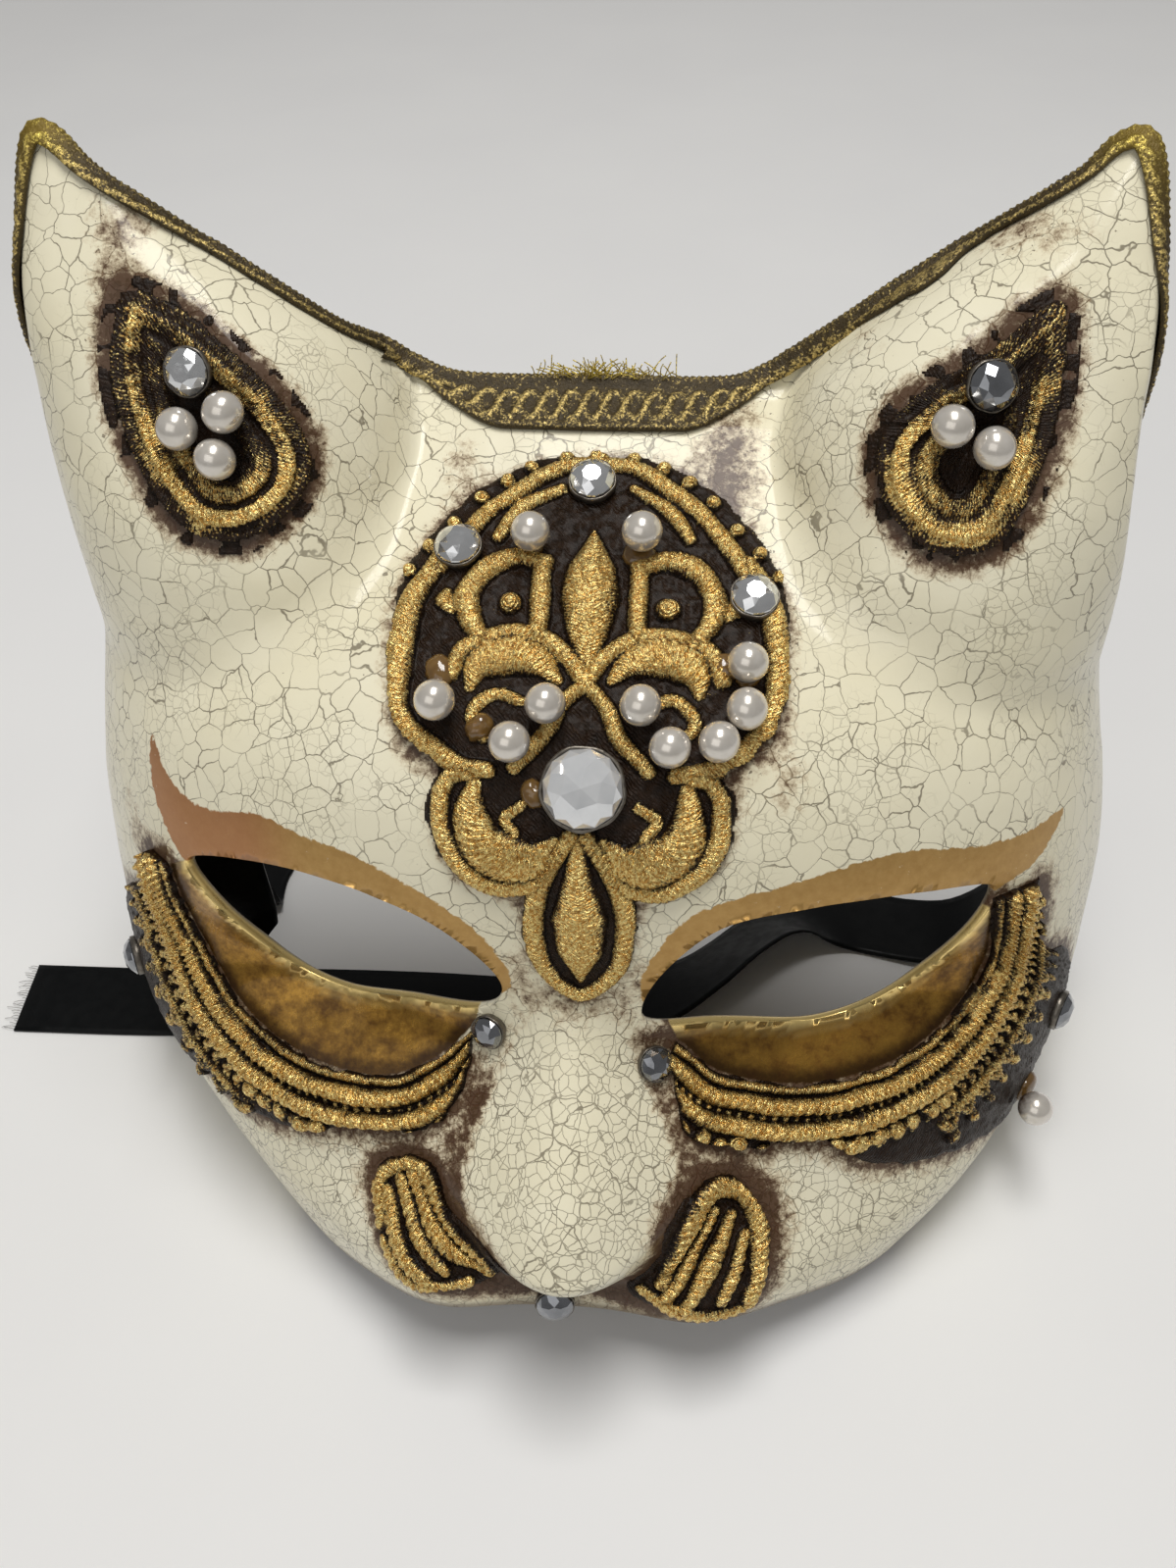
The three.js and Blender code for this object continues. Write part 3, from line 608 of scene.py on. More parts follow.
def lacquer_material():
    """Ivory crackle lacquer, brown grime with painted shade along the nose, gold leaf, gilt sockets with
    painted shade and a painted highlight, and bare paper inside.
    """
    shade = Shade("crackle_lacquer", Coat_Weight=0.3, Coat_Roughness=0.1, Specular_IOR_Level=0.15)
    sides = shade.node("ShaderNodeSeparateXYZ")
    shade.feed(sides.inputs[0], shade.place)
    low_down = shade.ramp(shade.math("ADD", sides.outputs[2], shade.math("MULTIPLY", shade.noise(14), 0.02)),
                          0.058, 0.066, 1, 0)
    warp = shade.warped(4, 2.4)
    wide = shade.cells(3.9, place=warp)
    fine = shade.cells(1.9, place=shade.warped(2, 1.0))
    patch = shade.ramp(shade.noise(13, 3), 0.44, 0.62)
    width = shade.ramp(shade.noise(6, 2), 0.35, 0.65, 0.6, 1.5)
    wide_crack = shade.ramp(shade.math("DIVIDE", wide, width), 0.006, 0.021, 1, 0)
    wide_crack = shade.math("MULTIPLY", wide_crack, shade.ramp(shade.noise(9, 2), 0.3, 0.55, 0.45, 1))
    fine_crack = shade.math("MULTIPLY", shade.ramp(fine, 0.01, 0.036, 1, 0),
                            shade.math("MAXIMUM", shade.math("MULTIPLY", patch, 0.5),
                                       shade.math("MULTIPLY", low_down, 0.8)))
    crack = shade.math("MAXIMUM", wide_crack, fine_crack)
    ivory = shade.mix(shade.noise(22, 3), srgb(240, 232, 199), srgb(248, 243, 220))
    ivory = shade.mix(shade.math("MULTIPLY", shade.cells(3.9, "F1", warp), 0.14), ivory, srgb(214, 202, 166))
    bare = shade.mix(shade.math("MULTIPLY", crack, 0.72), ivory, srgb(84, 70, 50))

    # The grime attribute holds brown airbrushing round the ornaments, and painted shade in the crease along
    # the nose and under its tip.
    grime = shade.attribute("grime")
    cloud = shade.math("MULTIPLY", shade.math("SUBTRACT", shade.noise(2.0, 7, 0.78), 0.5), 2.2)
    cloud = shade.math("MULTIPLY", cloud, shade.ramp(grime, 0, 0.45, 0.1, 1))
    smoke_and_shade = shade.ramp(shade.math("ADD", grime, cloud), 0.22, 0.95)
    dirt_and_shade = shade.mix(smoke_and_shade, srgb(172, 126, 66), srgb(72, 38, 9))
    tinted = shade.mix(shade.math("MULTIPLY", smoke_and_shade, 0.95), bare, dirt_and_shade)
    dots = shade.math("ADD", shade.noise(0.7, 2, 0.6), shade.math("MULTIPLY", grime, 0.2))
    tinted = shade.mix(shade.math("MULTIPLY", shade.ramp(dots, 0.735, 0.79), 0.75), tinted, srgb(74, 52, 30))

    ragged = shade.math("MULTIPLY", shade.math("SUBTRACT", shade.noise(1.3, 4, 0.6), 0.5), 1.5)
    leaf = shade.ramp(shade.math("ADD", shade.attribute("leaf"), ragged), 0, 0.3)
    worn = shade.ramp(shade.noise(1.1, 5, 0.7), 0.66, 0.72)
    leaf = shade.math("MULTIPLY", leaf, shade.blend(worn, 1, 0.35))
    copper = shade.math("MULTIPLY", shade.ramp(sides.outputs[0], -0.038, -0.05), 0.6)
    leaf_gold = shade.mix(shade.noise(1.6, 5, 0.7), srgb(164, 124, 64), srgb(206, 168, 104))
    leaf_gold = shade.mix(copper, leaf_gold, srgb(176, 114, 80))
    colour = shade.mix(leaf, tinted, leaf_gold)

    ragged_socket = shade.math("ADD", shade.attribute("socket"), shade.math("MULTIPLY", ragged, 0.4))
    socket = shade.ramp(ragged_socket, 0, 0.35)
    patina = shade.ramp(shade.noise(3.2, 6, 0.7), 0.3, 0.72)
    socket_gold = shade.mix(patina, srgb(178, 134, 56), srgb(98, 66, 24))
    # Darker towards the gilt floor's outline, where it meets the raised lace: brown patina with painted shade
    # in that corner.
    corner = shade.ramp(shade.math("ADD", shade.attribute("socket"), shade.math("MULTIPLY", ragged, 1.2)),
                        0.6, 3.0, 0.85, 0)
    socket_gold = shade.mix(corner, socket_gold, srgb(52, 30, 10))
    # Pale gold along the eye holes' lower lip: a painted highlight on the rounded edge.
    socket_gold = shade.mix(shade.attribute("lip"), socket_gold, srgb(255, 226, 150))
    colour = shade.mix(socket, colour, socket_gold)
    edge = shade.attribute("edge")
    colour = shade.mix(shade.math("MULTIPLY", edge, 0.8), colour, srgb(92, 70, 40))
    inside = shade.attribute("inside")
    paper = shade.mix(shade.noise(2.5, 6, 0.7), srgb(112, 98, 76), srgb(156, 144, 120))
    colour = shade.mix(inside, colour, paper)
    shade.set("Base Color", colour)

    gilt = shade.math("MAXIMUM", shade.math("MULTIPLY", leaf, 0.7), shade.math("MULTIPLY", socket, 0.85))
    shade.set("Metallic", shade.math("MULTIPLY", gilt, shade.math("SUBTRACT", 1, inside)))
    rough = shade.blend(smoke_and_shade, 0.3, 0.5)
    rough = shade.blend(leaf, rough, 0.42)
    rough = shade.blend(socket, rough, shade.ramp(patina, 0, 1, 0.25, 0.42))
    shade.set("Roughness", shade.blend(inside, rough, 0.9))
    sound = shade.math("SUBTRACT", 1, shade.math("MAXIMUM", leaf, shade.math("MAXIMUM", socket, inside)))
    shade.bump(shade.math("MULTIPLY", crack, sound), -0.07)
    shade.bump(shade.noise(0.9, 4, 0.6), 0.03)
    shade.bump(shade.noise(9, 2), 0.2)
    return shade.material


def gilt_material():
    """Dark bitumen over embroidered lace, with gold rubbed onto whatever stands up."""
    shade = Shade("rubbed_gilt", Coat_Weight=0.05, Coat_Roughness=0.2, Specular_IOR_Level=0.2)
    rub = shade.attribute("rub")
    thread = shade.math("SINE", shade.math("MULTIPLY", shade.math("ADD", shade.attribute("run"),
                        shade.math("MULTIPLY", shade.noise(1.2, 2), 0.9)), 14.0))
    grain = shade.math("SUBTRACT", shade.noise(0.38, 4, 0.7), 0.5)
    blotch = shade.math("SUBTRACT", shade.noise(4.0, 3), 0.5)
    level = shade.math("ADD", rub, shade.math("ADD", shade.math("MULTIPLY", grain, 1.6),
                                              shade.math("MULTIPLY", blotch, 1.0)))
    level = shade.math("ADD", level, shade.math("MULTIPLY", thread, 0.1))
    gold = shade.ramp(level, 0.42, 0.7)
    glint = shade.ramp(shade.noise(0.5, 4, 0.8), 0.4, 0.6)
    tone = shade.mix(glint, srgb(196, 144, 66), srgb(255, 232, 156))
    dark = shade.mix(shade.noise(1.2, 3), srgb(8, 5, 3), srgb(50, 30, 10))
    shade.set("Base Color", shade.mix(gold, dark, tone))
    shade.set("Metallic", shade.math("MULTIPLY", gold, 0.85))
    shade.set("Roughness", shade.blend(gold, 0.36, 0.27))
    shade.bump(thread, 0.06)
    shade.bump(shade.noise(0.5, 4, 0.6), 0.25)
    return shade.material


def gimp_material():
    """Antique gold thread, brighter where it stands up, with a painted highlight in bright yellow at the ear
    tips and on the loose fringe.
    """
    shade = Shade("gold_gimp")
    rub = shade.attribute("rub")
    grain = shade.math("SUBTRACT", shade.noise(0.42, 3, 0.7), 0.5)
    gold = shade.ramp(shade.math("ADD", rub, shade.math("MULTIPLY", grain, 2.0)), 0.5, 0.95)
    dull = shade.mix(shade.noise(1.2, 4), srgb(38, 30, 12), srgb(80, 64, 28))
    bright = shade.mix(shade.noise(0.6, 3), srgb(168, 136, 66), srgb(255, 230, 150))
    colour = shade.mix(gold, dull, bright)
    # Bright yellow at the ear tips and on the fringe: a painted highlight.
    fresh = shade.math("MULTIPLY", shade.attribute("fresh"), 0.6)
    shade.set("Base Color", shade.mix(fresh, colour, shade.mix(gold, srgb(150, 124, 30), srgb(250, 226, 96))))
    shade.set("Metallic", shade.blend(gold, 0.2, 0.6))
    shade.set("Roughness", shade.blend(gold, 0.5, 0.3))
    shade.bump(shade.noise(0.3, 3), 0.2)
    return shade.material


def satin_material():
    """Black satin: a fine warp sheen and a dull weave."""
    shade = Shade("black_satin", Sheen_Weight=0.05, Sheen_Roughness=0.35, Specular_IOR_Level=0.15)
    shade.set("Base Color", shade.mix(shade.noise(6, 3), srgb(4, 6, 7), srgb(9, 11, 12)))
    shade.set("Roughness", shade.ramp(shade.noise(2, 3), 0.3, 0.7, 0.34, 0.48))
    shade.bump(shade.noise(0.35, 2), 0.03)
    return shade.material


def thread_material():
    shade = Shade("frayed_thread", Roughness=0.6)
    shade.set("Base Color", shade.mix(shade.noise(1), srgb(70, 68, 66), srgb(168, 164, 158)))
    return shade.material


def pearl_material():
    shade = Shade("pearl", Roughness=0.22, Metallic=0.5, Coat_Weight=1.0, Coat_Roughness=0.06,
                  Thin_Film_Thickness=380.0, Thin_Film_IOR=1.45)
    tint = shade.mix(shade.noise(1.6, 3), srgb(206, 198, 186), srgb(240, 234, 226))
    # Darker and browner towards the back, where the pearl sits on the lace: painted shade.
    low = shade.math("ADD", shade.attribute("low"), shade.math("MULTIPLY", shade.noise(0.8, 3), 0.4))
    grime = shade.ramp(low, 0.85, 1.25)
    shade.set("Base Color", shade.mix(grime, tint, srgb(92, 60, 30)))
    return shade.material


def crystal_material(name, metallic, low, high):
    """Foil-backed cut glass: facets that mirror the room."""
    shade = Shade(name, Metallic=metallic, Coat_Weight=1.0, Coat_Roughness=0.02)
    shade.set("Base Color", shade.mix(shade.noise(2.5), low, high))
    shade.set("Roughness", shade.ramp(shade.noise(0.8, 3), 0.3, 0.7, 0.03, 0.1))
    return shade.material


def cup_material():
    shade = Shade("crystal_rim", Metallic=0.85, Roughness=0.35)
    shade.set("Base Color", shade.mix(shade.noise(0.9, 3), srgb(60, 52, 44), srgb(150, 144, 134)))
    shade.bump(shade.noise(0.5), 0.05)
    return shade.material


def glue_material():
    shade = Shade("amber_glue", Roughness=0.12, Transmission_Weight=0.35, IOR=1.48, Coat_Weight=0.6)
    shade.set("Base Color", shade.mix(shade.noise(1.5, 3), srgb(92, 60, 22), srgb(164, 128, 72)))
    return shade.material


# ================= outlines on the face, as (x, height) =================
CREST_RIM = [(0, 137.7), (-9.2, 136.1), (-17.7, 132.4), (-24.1, 126.3), (-26.8, 119.4), (-26.3, 110.3),
             (-24, 103.6), (-18.4, 100.1), (-18.9, 95.2), (-15.8, 86.7), (-7.4, 82.4), (-5.3, 75.5),
             (0.8, 65.8), (7.4, 76.3), (9.5, 83.1), (18.6, 88.1), (21.8, 95.4), (22.2, 101.3),
             (27.5, 105.8), (28.6, 112.7), (28.4, 120.6), (24.1, 127.3), (17, 133.6), (8.3, 137.1)]
EAR_RIM_LEFT = [(-64.4, 162.7), (-67.5, 152.8), (-64.4, 140), (-56.3, 129.6), (-48, 128.2), (-40, 133.4),
                (-38.1, 140.6), (-41.9, 148.5), (-50.2, 156.2), (-58.2, 161.5)]
EAR_RIM_RIGHT = [(63.5, 162.9), (64.8, 151.1), (62, 138.5), (55.9, 129.6), (46.9, 129.2), (40, 136.3),
                 (39.6, 144.6), (44.7, 151.3), (53.2, 156.6), (59.3, 161.7)]
SOCKET_LEFT = [(-15.1, 57.2), (-20.5, 51.3), (-28.6, 47.1), (-38.1, 46.7), (-46.8, 48.7), (-55.6, 53.6),
               (-61.5, 62.9), (-64.6, 77.5)]
SOCKET_RIGHT = [(15.4, 56), (21.4, 50.7), (32.3, 48.1), (41.2, 48.3), (50.3, 50.5), (57.8, 55.6),
                (62.8, 64.5), (61.4, 78.5)]
EYE_MIDDLE_LEFT = [(-61, 79.8), (-54, 78), (-48, 73), (-36, 70), (-24, 68), (-14, 64)]
EYE_MIDDLE_RIGHT = [(61.5, 80.2), (55.5, 76.5), (48, 71), (36, 68.5), (22, 67.5), (12.5, 63)]
LACE_FAR_LEFT = [(-15.9, 51.3), (-18.4, 44), (-24.5, 40), (-37, 37.8), (-51, 34.4), (-68, 34.5),
                 (-82.4, 50), (-70, 79.5)]
LACE_FAR_RIGHT = [(13.2, 51.5), (18, 42.9), (28.5, 39.6), (41, 37), (55, 31.8), (76, 27.4),
                  (83, 44), (70.5, 79.5)]
LACE_RIM_LEFT = [(-15.9, 51.3), (-18.4, 44.6), (-23.3, 40.6), (-32.9, 39.2), (-43.1, 36.1), (-55.3, 34.3),
                 (-64.5, 37.1), (-74.4, 34.5), (-78.6, 43), (-81.7, 51.8), (-82.4, 60.9), (-76.5, 66.5),
                 (-70.7, 70.4), (-69.2, 77.6), (-65.4, 79.5)]
LACE_RIM_RIGHT = [(10.8, 57), (15.6, 48.9), (17.2, 42.8), (26.2, 40), (38.5, 39.8), (45, 34.9), (55, 32.2),
                  (65.5, 30.2), (72.3, 28.2), (78.6, 29.6), (80.5, 36), (81, 41.5), (82, 49.5), (78.4, 60.5),
                  (72.9, 63.9), (70.6, 71), (69.3, 79)]
SWIRL_RIM_LEFT = [(-30.4, 33.3), (-26.4, 35.9), (-21.2, 36.3), (-18.4, 31.2), (-10.6, 29), (-7.7, 26),
                  (-11, 20.5), (-16.3, 19.6), (-25.5, 18.4), (-29.8, 24.1)]
SWIRL_RIM_RIGHT = [(9, 20), (13.5, 27), (15.5, 33.5), (21.8, 36.9), (28, 32.7), (30.7, 25.5), (28.9, 16.8),
                   (18.6, 16.2)]
BROW_LEFT = [(-65.6, 98.5), (-62.5, 93.6), (-57, 90.2), (-46.7, 91.4), (-40.2, 89.6), (-33, 87.9),
             (-25.9, 84.9), (-18.7, 80.6), (-12, 74.1), (-9.3, 67.6), (-10.5, 64), (-20, 69), (-35, 72),
             (-52, 73), (-61, 79), (-63.6, 83.5), (-66, 90)]
BROW_RIGHT = [(72.6, 89.3), (66.1, 88.1), (58, 88.1), (46.2, 89.4), (36.6, 87.5), (28.4, 85.1),
              (20.4, 82.6), (16.2, 80), (12.3, 74.7), (9.6, 66.6), (11, 63), (22, 70), (38, 72), (54, 73),
              (62.5, 79.6), (68.5, 82.3)]
NOSE_EDGE = [(0, 66), (-7, 62), (-9.5, 57), (-12, 51), (-15.5, 45), (-17.5, 39), (-16.5, 33), (-12, 27.5),
             (-6, 24), (0, 23), (6, 24), (12, 27.5), (16.5, 33), (17.5, 39), (15.5, 45), (12, 51), (9.5, 57),
             (7, 62)]
# Patches of brown airbrushing, the one at height 19 being painted shade under the nose's tip: x, height, half
# width, half height, strength.
GRIME_AND_SHADE_SPOTS = [(0, 63, 6, 5, 0.4), (20, 138, 6, 9, 0.9), (-20, 137, 4, 5, 0.5), (2, 147, 16, 3, 0.6),
               (0, 19, 14, 3.2, 1.3), (-66, 165, 4, 10, 0.6),
               (-58, 172, 10, 4, 0.5), (56, 171, 12, 4, 0.65), (38, 158, 5, 8, 0.35), (-25, 32, 9, 6, 0.9),
               (24, 30, 9, 8, 0.9), (-9, 69, 4, 5, 0.6), (10, 68, 4, 5, 0.6), (30, 100, 4, 5, 0.5),
               (-72, 82, 3, 7, 0.5), (72, 72, 3, 6, 0.6)]


def socket_outline(floor, eye):
    """The gilt floor: from the lace's inner edge up into the eye hole."""
    rim, _ = smooth_route(floor, 60)
    return np.concatenate([rim, eye])


# ================= shell =================
def cut_eyes(angle, z):
    """Grid points close to an eye hole's edge move onto it. Tells which points lie in a hole."""
    x = across(angle, z)[0]
    hole = np.zeros(x.shape, bool)
    reach = 0.46
    for knots in (EYE_LEFT, EYE_RIGHT):
        line = smooth_loop(knots, 30)
        closed = np.concatenate([line, line[:1]])
        away = signed_distance(x, z, line, 3)
        i, j = np.nonzero(np.abs(away) < reach)
        at = nearest_on(x[i, j], z[i, j], closed)[1]
        size = np.concatenate([[0], np.cumsum(np.linalg.norm(np.diff(closed, axis=0), axis=1))])
        z[i, j] = np.interp(at, size, closed[:, 1])
        angle[i, j] = girth_at(np.interp(at, size, closed[:, 0]), z[i, j])
        hole |= away >= reach
    return hole


def shell_faces(hole, angle, z):
    """Quads away from the holes, and triangles where a quad's corner is cut off."""
    quads = grid_quads(*hole.shape)
    lost = hole.ravel()[quads]
    x = across(angle, z)[0].ravel()
    centre = np.stack([x[quads].mean(axis=1), z.ravel()[quads].mean(axis=1)], axis=1)
    for knots in (EYE_LEFT, EYE_RIGHT):
        lost[signed_distance(centre[:, 0], centre[:, 1], smooth_loop(knots, 30), 3) > 0.12] = True
    whole = quads[~lost.any(axis=1)]
    corner = quads[lost.sum(axis=1) == 1]
    gone = np.argmax(lost[lost.sum(axis=1) == 1], axis=1)
    pick = np.arange(len(corner))
    tris = np.stack([corner[pick, (gone + k) % 4] for k in (1, 2, 3)], axis=1)
    return whole, tris


def grime_at(x, z, points):
    """Brown airbrushing around every stuck-on ornament and in patches, with painted shade along the nose's
    edge and under its tip.
    """
    rims = [(CREST_RIM, 2.3, 0.8), (EAR_RIM_LEFT, 2.0, 1.0), (EAR_RIM_RIGHT, 2.2, 1.0),
            (LACE_RIM_LEFT, 3.0, 0.9), (LACE_RIM_RIGHT, 3.0, 0.9), (SWIRL_RIM_LEFT, 2.8, 0.95),
            (SWIRL_RIM_RIGHT, 3.4, 1.05)]
    grime = np.zeros(x.shape)
    for knots, fade, strength in rims:
        line = smooth_loop(knots, 6)
        dots = on_face(line[:, 0], line[:, 1])
        tree = KDTree(len(dots))
        for index, dot in enumerate(dots):
            tree.insert(dot, index)
        tree.balance()
        away = np.array([tree.find(p)[2] for p in points])
        away = np.where(inside_of(x, z, line), 0, away)
        grime = np.maximum(grime, strength * np.exp(-((away / fade) ** 1.6)))
    # Along the nose's edge the brown is painted shade in the crease round the nose, over some airbrushed
    # brown.
    nose = signed_distance(x, z, smooth_loop(NOSE_EDGE, 8), 9)
    fold = np.where(nose > 0, np.exp(-((nose / 1.2) ** 1.2)), np.exp(-((nose / 2.4) ** 2)))
    fold *= (1 - 0.65 * smoothstep(z, 44, 56)) * (0.7 + 0.3 * smoothstep(z, 28, 36))
    grime = np.maximum(grime, fold * (0.92 + 0.35 * mottle(x, z, 3.5, 8)))
    for sx, sz, wide, tall, strength in GRIME_AND_SHADE_SPOTS:
        spot = strength * np.exp(-(((x - sx) / wide) ** 2) - ((z - sz) / tall) ** 2)
        grime = grime + spot * (1 - 0.5 * grime)
    return grime


def build_shell(material):
    turn = np.linspace(-math.pi / 2, math.pi / 2, SHELL_COLUMNS)[:, None]
    share = np.linspace(0, 1, SHELL_ROWS)[None]
    low = low_rim(turn[:, 0])[:, None]
    high = top_rim(turn[:, 0])[:, None]
    z = low + (high - low) * share
    angle = turn + 0 * z
    hole = cut_eyes(angle, z)
    whole, tris = shell_faces(hole, angle, z)
    uneven = 0.16 * mottle(angle * 85, z, 13, 3) + 0.07 * mottle(angle * 85, z, 4.5, 4)
    fixed = smoothstep(share, 0, 0.02)
    outer = (face(angle, z) + face_normal(angle, z) * (uneven * fixed)[..., None]).reshape(-1, 3)
    inner = inner_point(angle, z).reshape(-1, 3)
    points, faces, owner, layer = thicken(outer, inner, whole, tris, bulge=0.25)
    x = across(angle, z)[0].ravel()
    flat_z = z.ravel()
    grime = grime_at(x, flat_z, outer)
    brow = np.maximum(signed_distance(x, flat_z, smooth_loop(BROW_LEFT, 8)),
                      signed_distance(x, flat_z, smooth_loop(BROW_RIGHT, 8)))
    floor = np.maximum(signed_distance(x, flat_z, socket_outline(SOCKET_LEFT, EYE_MIDDLE_LEFT)),
                       signed_distance(x, flat_z, socket_outline(SOCKET_RIGHT, EYE_MIDDLE_RIGHT)))
    to_hole = np.maximum(signed_distance(x, flat_z, smooth_loop(EYE_LEFT, 30), 4),
                         signed_distance(x, flat_z, smooth_loop(EYE_RIGHT, 30), 4))
    # A painted highlight along the eye holes' edge, used on the gilt floor.
    lip = smoothstep(to_hole, -1.2, -0.3)
    low_edge = 1 - smoothstep(np.broadcast_to((z - low), z.shape).ravel(), 0.2, 2.0)
    under = smoothstep(layer, 0.5, 0.9)
    piece = add_mesh("shell", stand(points), faces, material, grime=grime[owner], leaf=brow[owner],
                     socket=floor[owner], lip=lip[owner], edge=low_edge[owner], inside=under)
    return place(piece, "lacquer", "mask_shell")


# ================= lace =================
CORD_GAIN = 1.42
HEIGHT_GAIN = 1.5


class Embroidery:
    """Cords, petals and beads raised over a flat pattern, all in millimetres."""

    def __init__(self, u, v, ground, seed):
        self.u = u + 0.3 * mottle(u, v, 5, seed)
        self.v = v + 0.3 * mottle(u, v, 5, seed + 1)
        self.grain = mottle(u, v, 0.75, seed + 2)
        self.height = ground * (1 + 0.35 * mottle(u, v, 1.1, seed + 3))
        self.rub = np.zeros(u.shape)
        self.run = 0.7 * (self.u + self.v)

    def lay(self, pick, dome, full, run, shine=1.0):
        """Raise the picked points to a share of a full height."""
        top = 0.35 + HEIGHT_GAIN * full * dome * (1 + 0.12 * self.grain[pick])
        higher = (top > self.height[pick]) & (dome > 0.05)
        self.height[pick] = np.where(higher, top, self.height[pick])
        self.rub[pick] = np.where(higher, shine * dome, self.rub[pick])
        self.run[pick] = np.where(higher, run, self.run[pick])

    def cord(self, knots, radii, full=0.9, wrap=0.95, ridge=0.12, shine=1.0):
        """A wrapped cord through the knots, with its radius at even steps along it."""
        line, _ = smooth_route(knots, 10 * (len(knots) - 1))
        radii = np.array(radii) * CORD_GAIN
        widest = radii.max()
        near = (self.u > line[:, 0].min() - widest) & (self.u < line[:, 0].max() + widest)
        near &= (self.v > line[:, 1].min() - widest) & (self.v < line[:, 1].max() + widest)
        pick = np.nonzero(near)
        away, at, side = nearest_on(self.u[pick], self.v[pick], line)
        length = np.linalg.norm(np.diff(line, axis=0), axis=1).sum()
        radius = np.interp(at / length, np.linspace(0, 1, len(radii)), radii)
        dome = np.sqrt(np.clip(1 - (away / radius) ** 2, 0, 1))
        ripple = 1 + ridge * np.sin(2 * math.pi * (at + 0.5 * side) / wrap)
        self.lay(pick, dome * ripple, full * np.minimum(1, radius / widest * 1.2), at + 0.4 * side, shine)

    def bead(self, u, v, radius, full=1.0, shine=1.0):
        away = np.hypot(self.u - u, self.v - v)
        pick = np.nonzero(away < radius)
        dome = np.sqrt(np.clip(1 - (away[pick] / radius) ** 2, 0, 1))
        self.lay(pick, dome, full, away[pick], shine)

    def band(self, offset, radius, full=0.9, wrap=1.2, ridge=0.2, shine=1.0, share=1.0):
        """A cord that follows the pattern's own lines, at an offset from v."""
        away = (self.v - offset) / radius
        dome = np.sqrt(np.clip(1 - away**2, 0, 1)) * share
        ripple = 1 + ridge * np.sin(2 * math.pi * (self.u + 0.5 * (self.v - offset)) / wrap)
        pick = np.nonzero(dome > 0)
        self.lay(pick, (dome * ripple)[pick], full, self.u[pick], np.broadcast_to(shine, dome.shape)[pick])


def lace_mesh(name, angle, z, work, keep, material, node):
    normal = face_normal(angle, z)
    ground = face(angle, z)
    top = (ground + normal * work.height[..., None]).reshape(-1, 3)
    bottom = (ground - normal * 0.1).reshape(-1, 3)
    quads = grid_quads(*angle.shape)
    kept = quads[keep.ravel()[quads].all(axis=1)]
    points, faces, owner, layer = thicken(top, bottom, kept)
    piece = add_mesh(name, stand(points), faces, material, rub=work.rub.ravel()[owner] * (1 - layer),
                     run=work.run.ravel()[owner])
    return place(piece, "gilt", node)


# The crest's pattern is drawn over width from its axis and length up the forehead's curve.
CREST_AXIS = 1.0
CREST_LENGTH = [(63.1, -3), (66, 0), (76, 10.2), (82.8, 17.1), (87.5, 21.8), (95.4, 29.8), (99.5, 34.1),
                (105.3, 40.7), (109, 45.2), (113, 50.4), (120.5, 60.6), (129, 73), (134.7, 81.4),
                (137.7, 85.7), (141, 90.4)]
CREST_BASE = [(0, 86.5), (9, 85.5), (16, 81.5), (21.5, 76), (25.7, 69), (28, 62), (28.2, 52), (27, 43.5),
              (23, 38), (20, 36.5), (21.5, 32), (21, 26), (17.5, 20.3), (12, 17.2), (8.3, 17.5), (8.3, 12),
              (7, 5.5), (3.5, 0), (0, -1.2)]
CREST_CORDS = [  # knots of (width, length), then radii and full height
    ([(7, 67.2), (7, 61), (7, 55.5)], (0.9, 0.9), 0.95),
    ([(7, 67.2), (11, 68), (15, 66.3), (17.6, 62), (17, 58), (14.5, 54.6)], (0.8, 1.15, 1.15, 0.8), 1.05),
    ([(20.5, 62), (20.6, 60.5), (19.5, 59)], (0.5, 1.0, 0.5), 0.8),
    ([(0.3, 49), (2.5, 52.5), (6, 55), (10, 55.8), (14, 55.2), (17.5, 53), (19, 49.5)], (0.8, 0.9, 0.8), 0.9),
    ([(0.2, 48.5), (3, 45.5), (5.2, 41), (9.3, 36.6)], (0.7, 0.8, 0.7), 0.8),
    ([(22.3, 67.5), (25.5, 60), (26.8, 51), (26, 43), (22, 38.8), (16.5, 36.3), (13, 36)],
     (0.9, 1.25, 1.3, 1.1, 0.8), 1.1),
    ([(0, 84.5), (5, 84), (10, 81), (15, 76.5), (19.5, 70.5), (22.5, 66)], (0.8, 0.9, 0.9), 0.9),
    ([(5.5, 80), (10.5, 77), (14, 71.5)], (0.6, 0.8, 0.6), 0.75),
    ([(19.5, 32.5), (19.3, 27), (16.5, 21.8), (11.5, 19), (6.5, 20), (3.5, 23.5), (1.3, 27)],
     (0.9, 0.9, 0.8, 0.8), 0.95),
    ([(19.5, 32.5), (17.8, 35), (15.5, 35.5)], (0.9, 0.8), 0.9),
    ([(2.3, 25.5), (5.5, 19.5), (6.6, 13), (5.8, 6.5), (3, 1.8), (0, 0)], (0.7, 0.95, 0.95, 0.7), 0.9),
    ([(16, 47.5), (15.4, 50), (13.4, 51.9), (9.8, 52.6), (6, 51.4), (3.7, 49.2)],
     (0.5, 1.7, 1.9, 1.5, 0.5), 1.25),
    ([(14.6, 34), (15, 29.5), (13.6, 25.6), (9.6, 23.6), (6, 24.2), (3.4, 26.4)],
     (0.7, 1.7, 2.2, 2.1, 0.6), 1.35),
    ([(9, 45.5), (12.5, 46.5), (15.5, 43.5), (13.5, 40.5)], (0.6, 0.7, 0.6), 0.5),
    ([(8, 31.5), (10.5, 29.5), (9, 27.5)], (0.5, 0.6, 0.5), 0.5),
]
CREST_BEADS = [(0.4, 85.7), (5, 85.5), (9.8, 83.7), (13.5, 81.5), (17, 78.2), (20.5, 73.5), (24, 69.3),
               (26.5, 65.3)]


